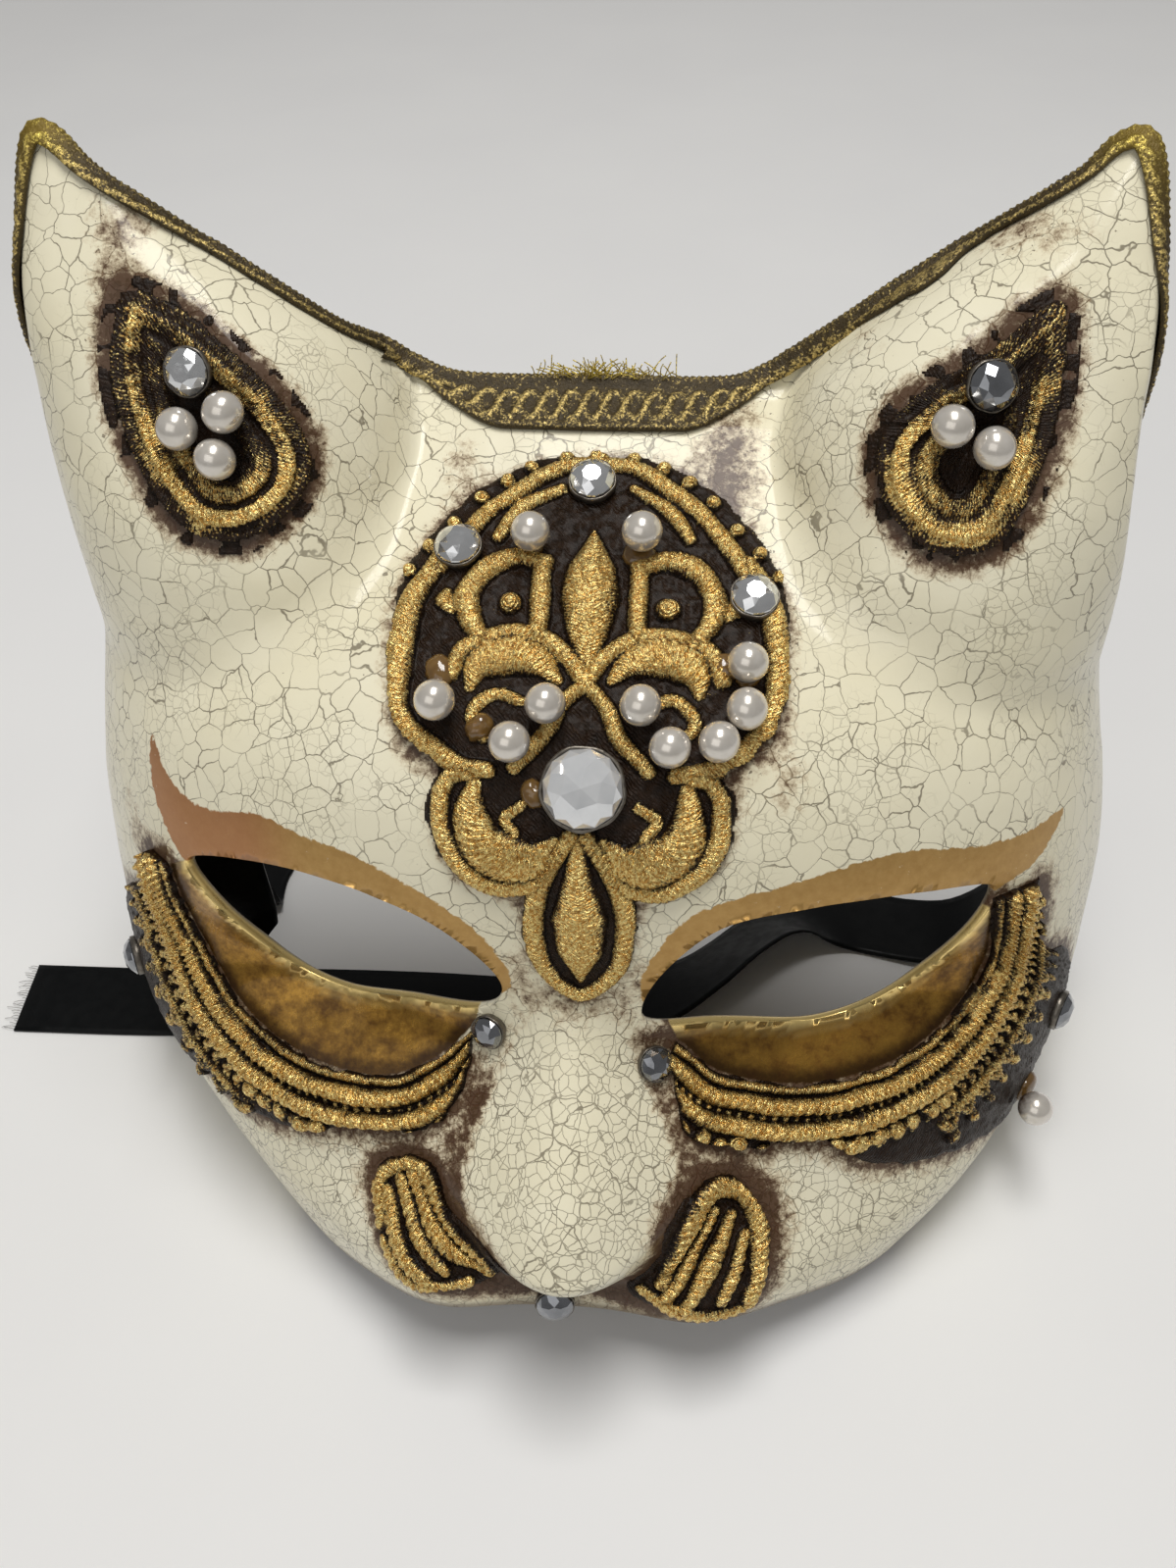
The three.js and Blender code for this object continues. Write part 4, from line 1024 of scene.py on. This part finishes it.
def build_crest(material):
    u = np.arange(-28.6, 30.8, LACE_PITCH)[:, None]
    v = np.arange(-2.6, 88.8, LACE_PITCH)[None]
    table = np.array(CREST_LENGTH)
    z = np.interp(v, table[:, 1], table[:, 0]) + 0 * u
    angle = girth_at(u + 0 * v, z)
    half = np.array(CREST_BASE, float)
    rim = np.concatenate([half, half[-2:0:-1] * (-1, 1)])
    width = u - CREST_AXIS + 0 * v
    long = v + 0 * u
    edge = signed_distance(width, long, smooth_loop(rim, 8)) + 0.45 * mottle(u, v, 1.6, 21)
    ground = 0.5 * smoothstep(edge, -0.1, 0.9) + 0.05
    work = Embroidery(width, long, ground, 30)
    work.u = np.abs(work.u)
    for knots, radii, full in CREST_CORDS:
        work.cord(knots, np.array(radii) * 1.2, full)
    for bead_u, bead_v in CREST_BEADS:
        work.bead(bead_u, bead_v, 1.25, 1.05)
    work.bead(11.2, 60.3, 1.8, 1.2)
    work.cord([(0, 50.5), (0, 62), (0, 72.5)], (0.4, 2.1, 3.1, 2.5, 0.4), 1.6, ridge=0.06)
    work.cord([(0, 2.6), (0, 13.5), (0, 26.5)], (0.4, 2.5, 2.9, 1.7, 0.5), 1.45, ridge=0.06)
    return lace_mesh("crest_lace_work", angle, z, work, edge > 0, material, "crest_lace")


def build_ear_lace(name, rim, seed, material):
    """A drop of embroidery: dark rim, bright rope, broad inner band, dark middle."""
    line = smooth_loop(rim, 8)
    u = np.arange(line[:, 0].min() - 1, line[:, 0].max() + 1, LACE_PITCH)[:, None]
    v = np.arange(line[:, 1].min() - 1, line[:, 1].max() + 1, LACE_PITCH)[None]
    z = v + 0 * u
    angle = girth_at(u + 0 * v, z)
    depth = signed_distance(u + 0 * v, z, line, 14)
    edge = depth + 0.4 * mottle(u, v, 1.7, seed)
    centre = line.mean(axis=0)
    round_at = np.arctan2(z - centre[1], u + 0 * v - centre[0])
    ground = 0.45 * smoothstep(edge, -0.1, 0.9) + 0.05
    work = Embroidery(round_at * 12, depth, ground, seed + 5)
    worn = 0.42 + 0.45 * smoothstep(np.sin(round_at + 0.25), 0.35, -0.75)
    worn = worn + 0.15 * mottle(round_at * 12, depth, 3.0, seed + 9)
    work.band(1.1, 0.8, 0.5, wrap=2.3, ridge=0.06, shine=0.3)
    work.band(3.2, 1.4, 1.1, wrap=1.7, ridge=0.1, shine=worn + 0.15)
    work.band(6.5, 1.8, 0.85, wrap=2.6, ridge=0.08, shine=0.7 * worn)
    return lace_mesh(name + "_work", angle, z, work, edge > 0, material, name)


def band_grid(near, far, rows):
    """Grid of girth angles and heights between a lace's inner and outer edge, with the length
    along it and the depth across it."""
    inner, _ = smooth_route(near, 24 * (len(near) - 1))
    outer, _ = smooth_route(far, 24 * (len(far) - 1))
    ends = [(girth_at(line[:, 0], line[:, 1]), line[:, 1]) for line in (inner, outer)]
    middle = face((ends[0][0] + ends[1][0]) / 2, (ends[0][1] + ends[1][1]) / 2)
    length = np.concatenate([[0], np.cumsum(np.linalg.norm(np.diff(middle, axis=0), axis=1))])
    even = np.arange(0, length[-1], LACE_PITCH)
    (a0, z0), (a1, z1) = [[np.interp(even, length, line)[:, None] for line in end] for end in ends]
    share = np.linspace(-0.03, 1.03, rows)[None]
    angle = a0 + (a1 - a0) * share
    z = z0 + (z1 - z0) * share
    step = np.linalg.norm(np.diff(face(angle, z), axis=1), axis=2)
    depth = np.concatenate([np.zeros((len(even), 1)), np.cumsum(step, axis=1)], axis=1)
    depth -= 0.03 / 1.06 * depth[:, -1:]
    return angle, z, even[:, None] + 0 * share, depth


def build_eye_lace(name, near, far, rim, seed, material):
    angle, z, length, depth = band_grid(near, far, 74)
    x = across(angle, z)[0]
    outline = np.concatenate([smooth_route(near, 60)[0], smooth_route(rim, 110)[0][::-1]])
    edge = signed_distance(x, z, outline) + 0.5 * mottle(length, depth, 2.1, seed)
    ground = 0.5 * smoothstep(edge, -0.1, 0.9) + 0.05
    work = Embroidery(length, depth, ground, seed + 5)
    total = float(length.max())
    work.band(0.9, 0.8, 0.75, wrap=1.9, ridge=0.1, shine=0.75)
    work.band(3.4, 1.5, 1.45, wrap=1.7, ridge=0.2)
    work.band(7.3, 1.6, 1.4, wrap=1.8, ridge=0.18)
    for at in np.arange(3, total, 1.75):
        work.bead(at, 5.35 + 0.15 * math.sin(3 * at), 0.6, 0.5, 0.7)
    for at in np.arange(4, 0.45 * total, 3.3):
        work.bead(at + 0.4 * math.sin(5 * at), 10.5 + 0.4 * math.sin(at), 1.55, 1.15, 0.95)
    for at in np.arange(0.3 * total, 0.97 * total, 2.9):
        work.cord([(at, 9.6), (at + 0.9, 10.6), (at + 0.2, 11.8)], (0.6, 0.8, 0.5), 0.8, shine=0.7)
    work.band(13.2, 1.1, 0.95, shine=0.7, share=smoothstep(length, 0.38 * total, 0.46 * total))
    for at in np.arange(0.42 * total, 0.95 * total, 4.6):
        work.cord([(at, 14.2), (at + 1.6, 16), (at + 3.2, 14.4)], (0.7, 0.9, 0.7), 0.8, shine=0.6)
        work.bead(at + 1.7, 18.2, 1.4, 0.9, 0.65)
    return lace_mesh(name + "_work", angle, z, work, edge > 0, material, name)


MUZZLE_CORDS_LEFT = [
    ([(-29.2, 26), (-30, 31.5), (-27, 34.6), (-22.6, 35), (-20, 31.5), (-17.5, 28.2), (-11, 26)],
     (0.9, 1.0, 0.8), 0.9),
    ([(-24, 33.6), (-22.2, 30), (-20.6, 27), (-17, 24.4), (-11.5, 23)], (1.2, 1.25, 0.8), 1.2),
    ([(-26.6, 32.5), (-25, 28.5), (-22.6, 24.8), (-18.6, 22)], (0.8, 0.9, 0.7), 0.8),
    ([(-28.5, 30), (-27.2, 26), (-25, 22.4), (-21.5, 20.2)], (0.8, 1.1, 0.8), 1.0),
    ([(-28.8, 23.5), (-26.5, 20.3), (-22, 19.2), (-15, 20.4)], (0.8, 0.9, 0.7), 0.7),
]
MUZZLE_CORDS_RIGHT = [
    ([(14.5, 22), (16.2, 27.5), (18.6, 32.5), (22, 35), (26, 33.8), (28.6, 29.5), (29, 23.5), (27.6, 18.6)],
     (1.0, 1.3, 1.2, 1.2, 0.9), 1.15),
    ([(21.6, 31.4), (19.6, 27), (17.4, 22.5), (15, 19.5)], (0.7, 1.0, 0.7), 0.9),
    ([(24.4, 30.6), (22.6, 26), (20.4, 21.8), (18.4, 18.6)], (0.7, 1.1, 0.8), 1.1),
    ([(26.6, 27.6), (25.4, 23.4), (23.6, 19.4)], (0.7, 0.9, 0.7), 0.8),
    ([(11, 20.6), (16, 18.2), (22, 17.2), (27.6, 17.6)], (0.6, 0.9, 0.7), 0.7),
]


def build_muzzle_lace(name, rim, cords, seed, material):
    line = smooth_loop(rim, 8)
    u = np.arange(line[:, 0].min() - 1, line[:, 0].max() + 1, LACE_PITCH)[:, None]
    v = np.arange(line[:, 1].min() - 1, line[:, 1].max() + 1, LACE_PITCH)[None]
    z = v + 0 * u
    angle = girth_at(u + 0 * v, z)
    edge = signed_distance(u + 0 * v, z, line) + 0.4 * mottle(u, v, 1.7, seed)
    work = Embroidery(u + 0 * v, z, 0.45 * smoothstep(edge, -0.1, 0.9) + 0.05, seed + 5)
    for knots, radii, full in cords:
        work.cord(knots, radii, full, wrap=1.3, ridge=0.2, shine=0.9)
    return lace_mesh(name + "_work", angle, z, work, edge > 0, material, name)


# ================= braid =================
def rim_path(pitch):
    """Even steps along the rim, from one lower temple over both ears to the other."""
    side = np.arange(44, TOP_RIM[-1][1], 1.0)
    turn = np.radians(np.linspace(-90, 90, 1400))
    angle = np.concatenate([np.full(len(side), turn[0]), turn, np.full(len(side), turn[-1])])
    z = np.concatenate([side, top_rim(turn), side[::-1]])
    line = face(angle, z)
    length = np.concatenate([[0], np.cumsum(np.linalg.norm(np.diff(line, axis=0), axis=1))])
    even = np.arange(0, length[-1], pitch)
    return np.interp(even, length, angle), np.interp(even, length, z), even


def surface_step(angle, z, away):
    """Change of girth angle and height that moves a surface point along a direction."""
    girthwise = (face(angle + 0.004, z) - face(angle - 0.004, z)) / 0.008
    upwards = (face(angle, z + 0.4) - face(angle, z - 0.4)) / 0.8
    aa = np.sum(girthwise**2, axis=1)
    ab = np.sum(girthwise * upwards, axis=1)
    bb = np.sum(upwards**2, axis=1)
    a = np.sum(girthwise * away, axis=1)
    b = np.sum(upwards * away, axis=1)
    det = np.maximum(aa * bb - ab**2, 1e-9)
    return (a * bb - b * ab) / det, (b * aa - a * ab) / det


def soften(values, reach):
    """Running mean along the first axis, with the ends held."""
    kernel = np.hanning(2 * reach + 3)[1:-1]
    kernel /= kernel.sum()
    padded = np.concatenate([np.repeat(values[:1], reach, 0), values, np.repeat(values[-1:], reach, 0)])
    return np.stack([np.convolve(padded[:, k], kernel, "valid") for k in range(values.shape[1])], axis=1)


def build_braid(material):
    angle, z, length = rim_path(0.36)
    edge = face(angle, z)
    inner = inner_point(angle, z)
    out = unit(soften(edge - inner, 6))
    run = unit(soften(np.gradient(edge, axis=0), 6))
    away = unit(np.cross(out, run))
    half = np.linalg.norm(edge - inner, axis=1) / 2
    middle = (edge + inner) / 2
    deg = np.abs(np.degrees(angle))
    leg = 1.1 + 5.9 * (1 - smoothstep(deg, 9, 19)) + 0.5 * bell(deg - 59, 5)
    move_angle, move_z = surface_step(angle, z, -away)
    rows = []
    for share in np.linspace(1, 0.02, 22):
        a = leg * share
        here = face(angle + move_angle * a, z + move_z * a)
        normal = face_normal(angle + move_angle * a, z + move_z * a)
        rows.append((here, normal, -a))
    for spin in np.linspace(0.12, math.pi - 0.12, 9):
        normal = out * math.cos(spin) + away * math.sin(spin)
        rows.append((middle + normal * half[:, None], normal, half * spin))
    for share in np.linspace(0.03, 1, 14):
        a = 4.2 * share
        here = inner_point(angle + move_angle * a, z + move_z * a)
        rows.append((here, -out, half * math.pi + a))
    here = np.stack([row[0] for row in rows], axis=1)
    normal = unit(np.stack([row[1] for row in rows], axis=1))
    s = np.stack([np.broadcast_to(row[2], length.shape) for row in rows], axis=1)
    t = length[:, None] + 0 * s
    height, rub = braid_relief(t, s, leg[:, None])
    top = here + normal * (0.38 + height)[..., None]
    bottom = here + normal * 0.32
    points, faces, owner, layer = thicken(top.reshape(-1, 3), bottom.reshape(-1, 3), grid_quads(*s.shape))
    shine = np.clip(rub, 0, 1).ravel()[owner] * (1 - layer)
    # Bright yellow at the ear tips, where the braid faces the overhead light: a painted highlight.
    fresh = (bell(deg - 59, 4.5)[:, None] + 0 * s).ravel()[owner]
    piece = add_mesh("braid", stand(points), faces, material, rub=shine, fresh=fresh, run=t.ravel()[owner])
    return place(piece, "gimp", "edge_braid")


def braid_relief(t, s, leg):
    """Woven gimp: two crossing cords make a chain of ovals between ribbed edges."""
    wave = 6.4
    reach = np.minimum(2.0, 0.3 * leg)
    centre = -leg * 0.5
    height = 0.35 + 0.1 * np.sin(2 * math.pi * t / 0.85) * np.cos(2 * math.pi * s / 1.1)
    rub = 0.3 + 0.35 * mottle(t, s, 0.6, 50)
    for phase in (0, math.pi):
        line = centre + reach * np.sin(2 * math.pi * t / wave + phase)
        slope = reach * 2 * math.pi / wave * np.cos(2 * math.pi * t / wave + phase)
        away = np.abs(s - line) / np.sqrt(1 + slope**2)
        dome = np.sqrt(np.clip(1 - (away / 0.62) ** 2, 0, 1))
        over = 0.75 + 0.25 * np.cos(2 * math.pi * t / wave + phase)
        twist = 1 + 0.18 * np.sin(2 * math.pi * t / 0.9)
        raised = 0.3 + 0.55 * dome * over * twist
        rub = np.where((raised > height) & (dome > 0), 0.35 + 0.45 * dome * over, rub)
        height = np.where(dome > 0, np.maximum(height, raised), height)
    for at in (-leg + 0.55, 0 * leg + 1.2, 0 * leg + 3.6):
        dome = np.sqrt(np.clip(1 - ((s - at) / 0.62) ** 2, 0, 1))
        beat = 0.78 + 0.22 * np.sin(2 * math.pi * t / 1.05)
        raised = 0.3 + 0.6 * dome * beat
        rub = np.where((raised > height) & (dome > 0), 0.25 + 0.45 * dome * beat, rub)
        height = np.where(dome > 0, np.maximum(height, raised), height)
    return height, rub


def strand(points, faces, line, radius):
    """A thin three-sided thread along a line, added to the lists."""
    base = len(points)
    tangent = unit(np.gradient(line, axis=0))
    side = unit(np.cross(tangent, [0.3, 0.2, 1.0]))
    up = np.cross(side, tangent)
    for k in range(len(line)):
        for a in range(3):
            spin = 2 * math.pi * a / 3
            points.append(line[k] + radius * (side[k] * math.cos(spin) + up[k] * math.sin(spin)))
    for k in range(len(line) - 1):
        for a in range(3):
            b = (a + 1) % 3
            faces.append((base + 3 * k + a, base + 3 * k + b, base + 3 * k + 3 + b, base + 3 * k + 3 + a))
    last = base + 3 * (len(line) - 1)
    faces.append((base + 2, base + 1, base))
    faces.append((last, last + 1, last + 2))


def build_fringe(material):
    """Where the braid's two ends meet over the forehead, its threads stand loose."""
    points = []
    faces = []
    for _ in range(110):
        x = RNG.normal(1.5, 5.5)
        angle = girth_at(np.float64(x), np.float64(147))
        root = face(angle, np.float64(147)) + np.array([0, RNG.uniform(-0.5, 2.2), 1.2])
        reach = RNG.uniform(1.6, 4.6)
        lean = np.array([RNG.normal(0, 1.0), RNG.normal(0.2, 0.5), 0.9])
        bend = np.array([RNG.normal(0, 0.5), RNG.normal(0, 0.3), -0.4])
        share = np.linspace(0, 1, 6)[:, None]
        strand(points, faces, root + unit(lean) * reach * share + bend * share**2 * reach * 0.5, 0.1)
    count = len(points)
    # The fringe takes the full painted yellow highlight.
    piece = add_mesh("braid_fringe", stand(points), faces, material, rub=np.full(count, 0.8),
                     fresh=np.full(count, 1.0), run=np.zeros(count))
    return place(piece, "gimp")


# ================= stones =================
CRYSTALS = [("crest_top", 0.2, 135.7, 3.3, 1.8), ("crest_left", -18.6, 127.6, 3.3, 1.8),
            ("crest_right", 24.2, 122.6, 3.3, 1.8), ("ear_left", -55.2, 151.8, 3.3, 2.6),
            ("ear_right", 54.2, 151.8, 3.3, 2.6), ("temple_left", -80.6, 48.5, 3.3, 0.9),
            ("temple_right", 80.2, 46, 3.3, 0.9), ("eye_left", -13.2, 57, 2.6, 1.2),
            ("eye_right", 12.4, 53.6, 2.6, 1.2), ("under_nose", -1.9, 16, 2.9, 1.6)]
# Stones that get the darker copy of the foil glass: painted shade for stones that catch less light.
SHADED_CRYSTALS = ("ear_right", "temple_left", "temple_right", "eye_left", "eye_right", "under_nose")
BIG_CRYSTAL = ("crest_centre", 1.5, 100.2, 5.6, 2.2)
CREST_PEARLS = [(-7.9, 130.4), (8, 130.7), (-19.3, 111), (-4, 111.2), (-8.6, 106.6), (9, 111.3),
                (13.2, 106.5), (19.8, 107.2), (23.4, 111), (23.4, 116.2)]
EAR_PEARLS = [(-49.5, 147), (-56.3, 144.6), (-50.8, 140.8), (49, 147), (54.8, 144.2)]
ON_LACE = 1.8


def frame_on(normal, spin):
    """Columns: two directions across a normal, turned by a spin, and the normal."""
    side = unit(np.cross([0, 0, 1.0], normal))
    up = np.cross(normal, side)
    a = side * math.cos(spin) + up * math.sin(spin)
    return np.stack([a, np.cross(normal, a), normal], axis=1)


def facets(rings):
    """Faces over rings of points (count, radius, height, turn), closed to a flat top and bottom."""
    points = []
    starts = []
    for count, radius, height, turn in rings:
        starts.append(len(points))
        for k in range(count):
            a = 2 * math.pi * (k + turn) / count
            points.append((radius * math.cos(a), radius * math.sin(a), height))
    faces = [tuple(range(rings[0][0]))[::-1]]
    for n in range(len(rings) - 1):
        faces += joined(rings[n], starts[n], rings[n + 1], starts[n + 1])
    last = starts[-1]
    faces.append(tuple(last + k for k in range(rings[-1][0])))
    return np.array(points), faces


def joined(low, low_start, high, high_start):
    """Triangles and quads between two rings whose counts are equal or in a ratio of two."""
    faces = []
    n, m = low[0], high[0]
    if n == m and low[3] == high[3]:
        for k in range(n):
            j = (k + 1) % n
            faces.append((low_start + k, low_start + j, high_start + j, high_start + k))
    elif n == m:
        for k in range(n):
            j = (k + 1) % n
            faces.append((low_start + k, low_start + j, high_start + k))
            faces.append((low_start + j, high_start + j, high_start + k))
    else:
        for k in range(m):
            j = (k + 1) % m
            faces.append((low_start + 2 * k, low_start + 2 * k + 1, high_start + k))
            faces.append((low_start + 2 * k + 1, high_start + j, high_start + k))
            faces.append((low_start + 2 * k + 1, (low_start + (2 * k + 2) % n), high_start + j))
    return faces


def build_crystals(bright, shaded, rim_material):
    for name, x, z, radius, lift in CRYSTALS:
        material = shaded if name in SHADED_CRYSTALS else bright
        centre, normal = seat_at(x, z, lift)
        turned = frame_on(normal, x)
        rings = [(16, 0.9, 0.02, 0), (16, 1.0, 0.2, 0), (16, 0.97, 0.26, 0), (8, 0.74, 0.5, 0.0),
                 (8, 0.42, 0.66, 0.5)]
        points, faces = facets(rings)
        placed = centre + points * radius @ turned.T
        piece = add_mesh("cut_" + name, stand(placed), faces, material, smooth=False)
        place(piece, "crystal", "crystal_" + name)
        build_setting("seat_" + name, centre, turned, radius, rim_material)


def build_big_crystal(material, rim_material):
    """Rose cut: a six-pointed star of flat facets round a low hexagon."""
    name, x, z, radius, lift = BIG_CRYSTAL
    centre, normal = seat_at(x, z, lift)
    turned = frame_on(normal, 0.35)
    rings = [(12, 0.92, 0.02, 0), (12, 1.0, 0.16, 0), (12, 0.98, 0.22, 0), (12, 0.84, 0.42, 0.5),
             (6, 0.52, 0.66, 0.0)]
    points, faces = facets(rings)
    top = len(points)
    points = np.concatenate([points, [(0, 0, 0.86)]])
    faces = faces[:-1] + [(top - 6 + k, top - 6 + (k + 1) % 6, top) for k in range(6)]
    piece = add_mesh("cut_" + name, stand(centre + points * radius @ turned.T), faces, material, smooth=False)
    place(piece, "crystal", "crystal_" + name)
    build_setting("seat_" + name, centre, turned, radius, rim_material)


def build_setting(name, centre, turned, radius, material):
    """Thin dark cup under a stone, a little uneven."""
    profile = [(0.5, -0.55), (0.98, -0.5), (1.07, -0.1), (1.07, 0.12), (1.0, 0.15), (0.95, 0.0), (0.5, -0.1)]
    sides = 40
    points = []
    for k in range(sides):
        a = 2 * math.pi * k / sides
        wobble = 1 + 0.015 * math.sin(5 * a + radius) + 0.01 * math.sin(9 * a)
        for r, h in profile:
            points.append((r * wobble * math.cos(a), r * wobble * math.sin(a), h))
    faces = ring_faces(sides, len(profile))
    placed = centre + np.array(points) * radius @ turned.T
    piece = add_mesh(name, stand(placed), faces, material)
    return place(piece, "gilt")


def ring_faces(around, across_count):
    """Quads of a closed tube that goes round: points are [around][section]."""
    faces = []
    for i in range(around):
        n = (i + 1) % around
        for j in range(across_count):
            m = (j + 1) % across_count
            faces.append((i * across_count + j, n * across_count + j, n * across_count + m,
                          i * across_count + m))
    return faces


def ball(rows, columns):
    """Unit ball: points and faces."""
    points = [(0, 0, 1.0)]
    for i in range(1, rows):
        tilt = math.pi * i / rows
        for k in range(columns):
            a = 2 * math.pi * k / columns
            points.append((math.sin(tilt) * math.cos(a), math.sin(tilt) * math.sin(a), math.cos(tilt)))
    points.append((0, 0, -1.0))
    faces = []
    last = len(points) - 1
    for k in range(columns):
        n = (k + 1) % columns
        faces.append((0, 1 + k, 1 + n))
        for i in range(rows - 2):
            a = 1 + i * columns
            faces.append((a + k, a + columns + k, a + columns + n, a + n))
        a = 1 + (rows - 2) * columns
        faces.append((a + k, last, a + n))
    return np.array(points), faces


def build_pearls(material):
    ball_points, faces = ball(26, 40)
    spots = [("pearl_crest_%d" % (i + 1), x, z, ON_LACE) for i, (x, z) in enumerate(CREST_PEARLS)]
    spots += [("pearl_ear_%d" % (i + 1), x, z, ON_LACE) for i, (x, z) in enumerate(EAR_PEARLS)]
    spots.append(("pearl_cheek", 76, 32.5, 0.8))
    for name, x, z, lift in spots:
        centre, normal = seat_at(x, z, lift + PEARL_R)
        turned = frame_on(normal, x)
        round_a, round_b = RNG.uniform(0.97, 1.03, 2)
        shape = ball_points * (round_a, round_b, 1)
        placed = centre + shape * PEARL_R @ turned.T
        # The low attribute runs from the pearl's front to its back against the lace, for its painted shade.
        piece = add_mesh("bead_" + name, stand(placed), faces, material, low=(1 - ball_points[:, 2]) / 2)
        place(piece, "pearl", name)


# Glue blobs, as (x, height, radius, how far it stands out).
GLUE_BLOBS = [
    (7.6, 126.8, 2.5, 1.2), (-8.2, 127.3, 2.2, 1.0), (-19.5, 112.8, 2.6, 1.3),
    (20.6, 114.2, 2.4, 1.2), (-13.4, 106.5, 2.2, 1.7), (-5.5, 98.7, 2.1, 1.4),
    (8.6, 108.9, 1.8, 1.0), (23.6, 113.2, 1.9, 1.1), (-4.4, 109.2, 2.0, 1.1),
    (75.4, 32.8, 3.3, 1.7),
]


def build_glue(material):
    """Amber glue that shows beside some pearls, and where stones are lost."""
    ball_points, faces = ball(14, 24)
    for number, (x, z, radius, tall) in enumerate(GLUE_BLOBS):
        centre, normal = seat_at(x, z, 0.6)
        turned = frame_on(normal, number)
        lumps = 1 + 0.1 * mottle(ball_points[:, 0] * 3 + number * 7, ball_points[:, 1] * 3, 1, 60 + number)
        shape = ball_points * lumps[:, None] * (radius, radius * 0.85, tall)
        piece = add_mesh("glue_%d" % number, stand(centre + shape @ turned.T), faces, material)
        place(piece, "gilt")


# ================= table and light =================
TABLE_HALF = 3
# Lights, as (name, place, aim, size, power, colour).
LIGHTS = [
    ("ceiling", (0.03, 0.02, 1.1), (0, 0.02, 0.05), (0.6, 0.32), 7.2, (1.0, 0.985, 0.96)),
    ("front_fill", (-0.35, -0.8, 0.75), (0, 0, 0.06), (0.9, 0.7), 1.6, (1.0, 0.99, 0.98)),
]
ROOM_COLOUR = (0.84, 0.83, 0.82, 1)
ROOM_STRENGTH = 0.25


def flat_piece(name, corners, material):
    mesh = bpy.data.meshes.new(name)
    mesh.from_pydata(corners, [], [(0, 1, 2, 3)])
    mesh.materials.append(material)
    piece = bpy.data.objects.new(name, mesh)
    bpy.context.scene.collection.objects.link(piece)
    return piece


def table_material():
    shade = Shade("white_table", Roughness=0.55, Specular_IOR_Level=0.25)
    shade.set("Base Color", shade.mix(shade.noise(60, 3), srgb(240, 240, 240), srgb(246, 246, 245)))
    shade.bump(shade.noise(3, 2), 0.02)
    return shade.material


def add_stage():
    far = TABLE_HALF
    flat_piece("table", [(-far, -far, 0), (far, -far, 0), (far, far, 0), (-far, far, 0)], table_material())


def add_light(name, place_at, aim, size, power, colour):
    data = bpy.data.lights.new(name, "AREA")
    data.shape = "RECTANGLE"
    data.size, data.size_y = size
    data.energy = power
    data.color = colour
    light = bpy.data.objects.new(name, data)
    light.location = place_at
    light.rotation_euler = (Vector(aim) - Vector(place_at)).to_track_quat("-Z", "Y").to_euler()
    bpy.context.scene.collection.objects.link(light)


def add_lights():
    for light in LIGHTS:
        add_light(*light)
    world = bpy.data.worlds.new("room")
    world.use_nodes = True
    background = world.node_tree.nodes["Background"]
    background.inputs["Color"].default_value = ROOM_COLOUR
    background.inputs["Strength"].default_value = ROOM_STRENGTH
    bpy.context.scene.world = world
    bpy.context.scene.view_settings.view_transform = "Standard"


# ================= the making =================
add_camera()
satin = satin_material()
right_ribbon = add_ribbon("ribbon_right_satin", RIBBON_RIGHT, 64, satin, "ribbon_right")
add_ribbon("ribbon_left_satin", RIBBON_LEFT, 44, satin, "ribbon_left")
add_fray(*right_ribbon[1:], thread_material())

build_shell(lacquer_material())
gilt = gilt_material()
build_crest(gilt)
build_ear_lace("ear_lace_left", EAR_RIM_LEFT, 100, gilt)
build_ear_lace("ear_lace_right", EAR_RIM_RIGHT, 110, gilt)
build_eye_lace("eye_lace_left", SOCKET_LEFT, LACE_FAR_LEFT, LACE_RIM_LEFT, 120, gilt)
build_eye_lace("eye_lace_right", SOCKET_RIGHT, LACE_FAR_RIGHT, LACE_RIM_RIGHT, 130, gilt)
build_muzzle_lace("muzzle_lace_left", SWIRL_RIM_LEFT, MUZZLE_CORDS_LEFT, 140, gilt)
build_muzzle_lace("muzzle_lace_right", SWIRL_RIM_RIGHT, MUZZLE_CORDS_RIGHT, 150, gilt)
gimp = gimp_material()
build_braid(gimp)
build_fringe(gimp)
cup = cup_material()
# Two copies of the foil glass; the darker one paints shade on the stones that catch less light.
build_crystals(crystal_material("foil_crystal", 0.85, srgb(206, 209, 212), srgb(240, 241, 242)),
               crystal_material("shaded_crystal", 0.9, srgb(96, 98, 102), srgb(160, 163, 168)), cup)
build_big_crystal(crystal_material("star_crystal", 0.45, srgb(222, 225, 228), srgb(248, 249, 250)), cup)
build_pearls(pearl_material())
build_glue(glue_material())
add_stage()
add_lights()

bpy.context.view_layer.update()
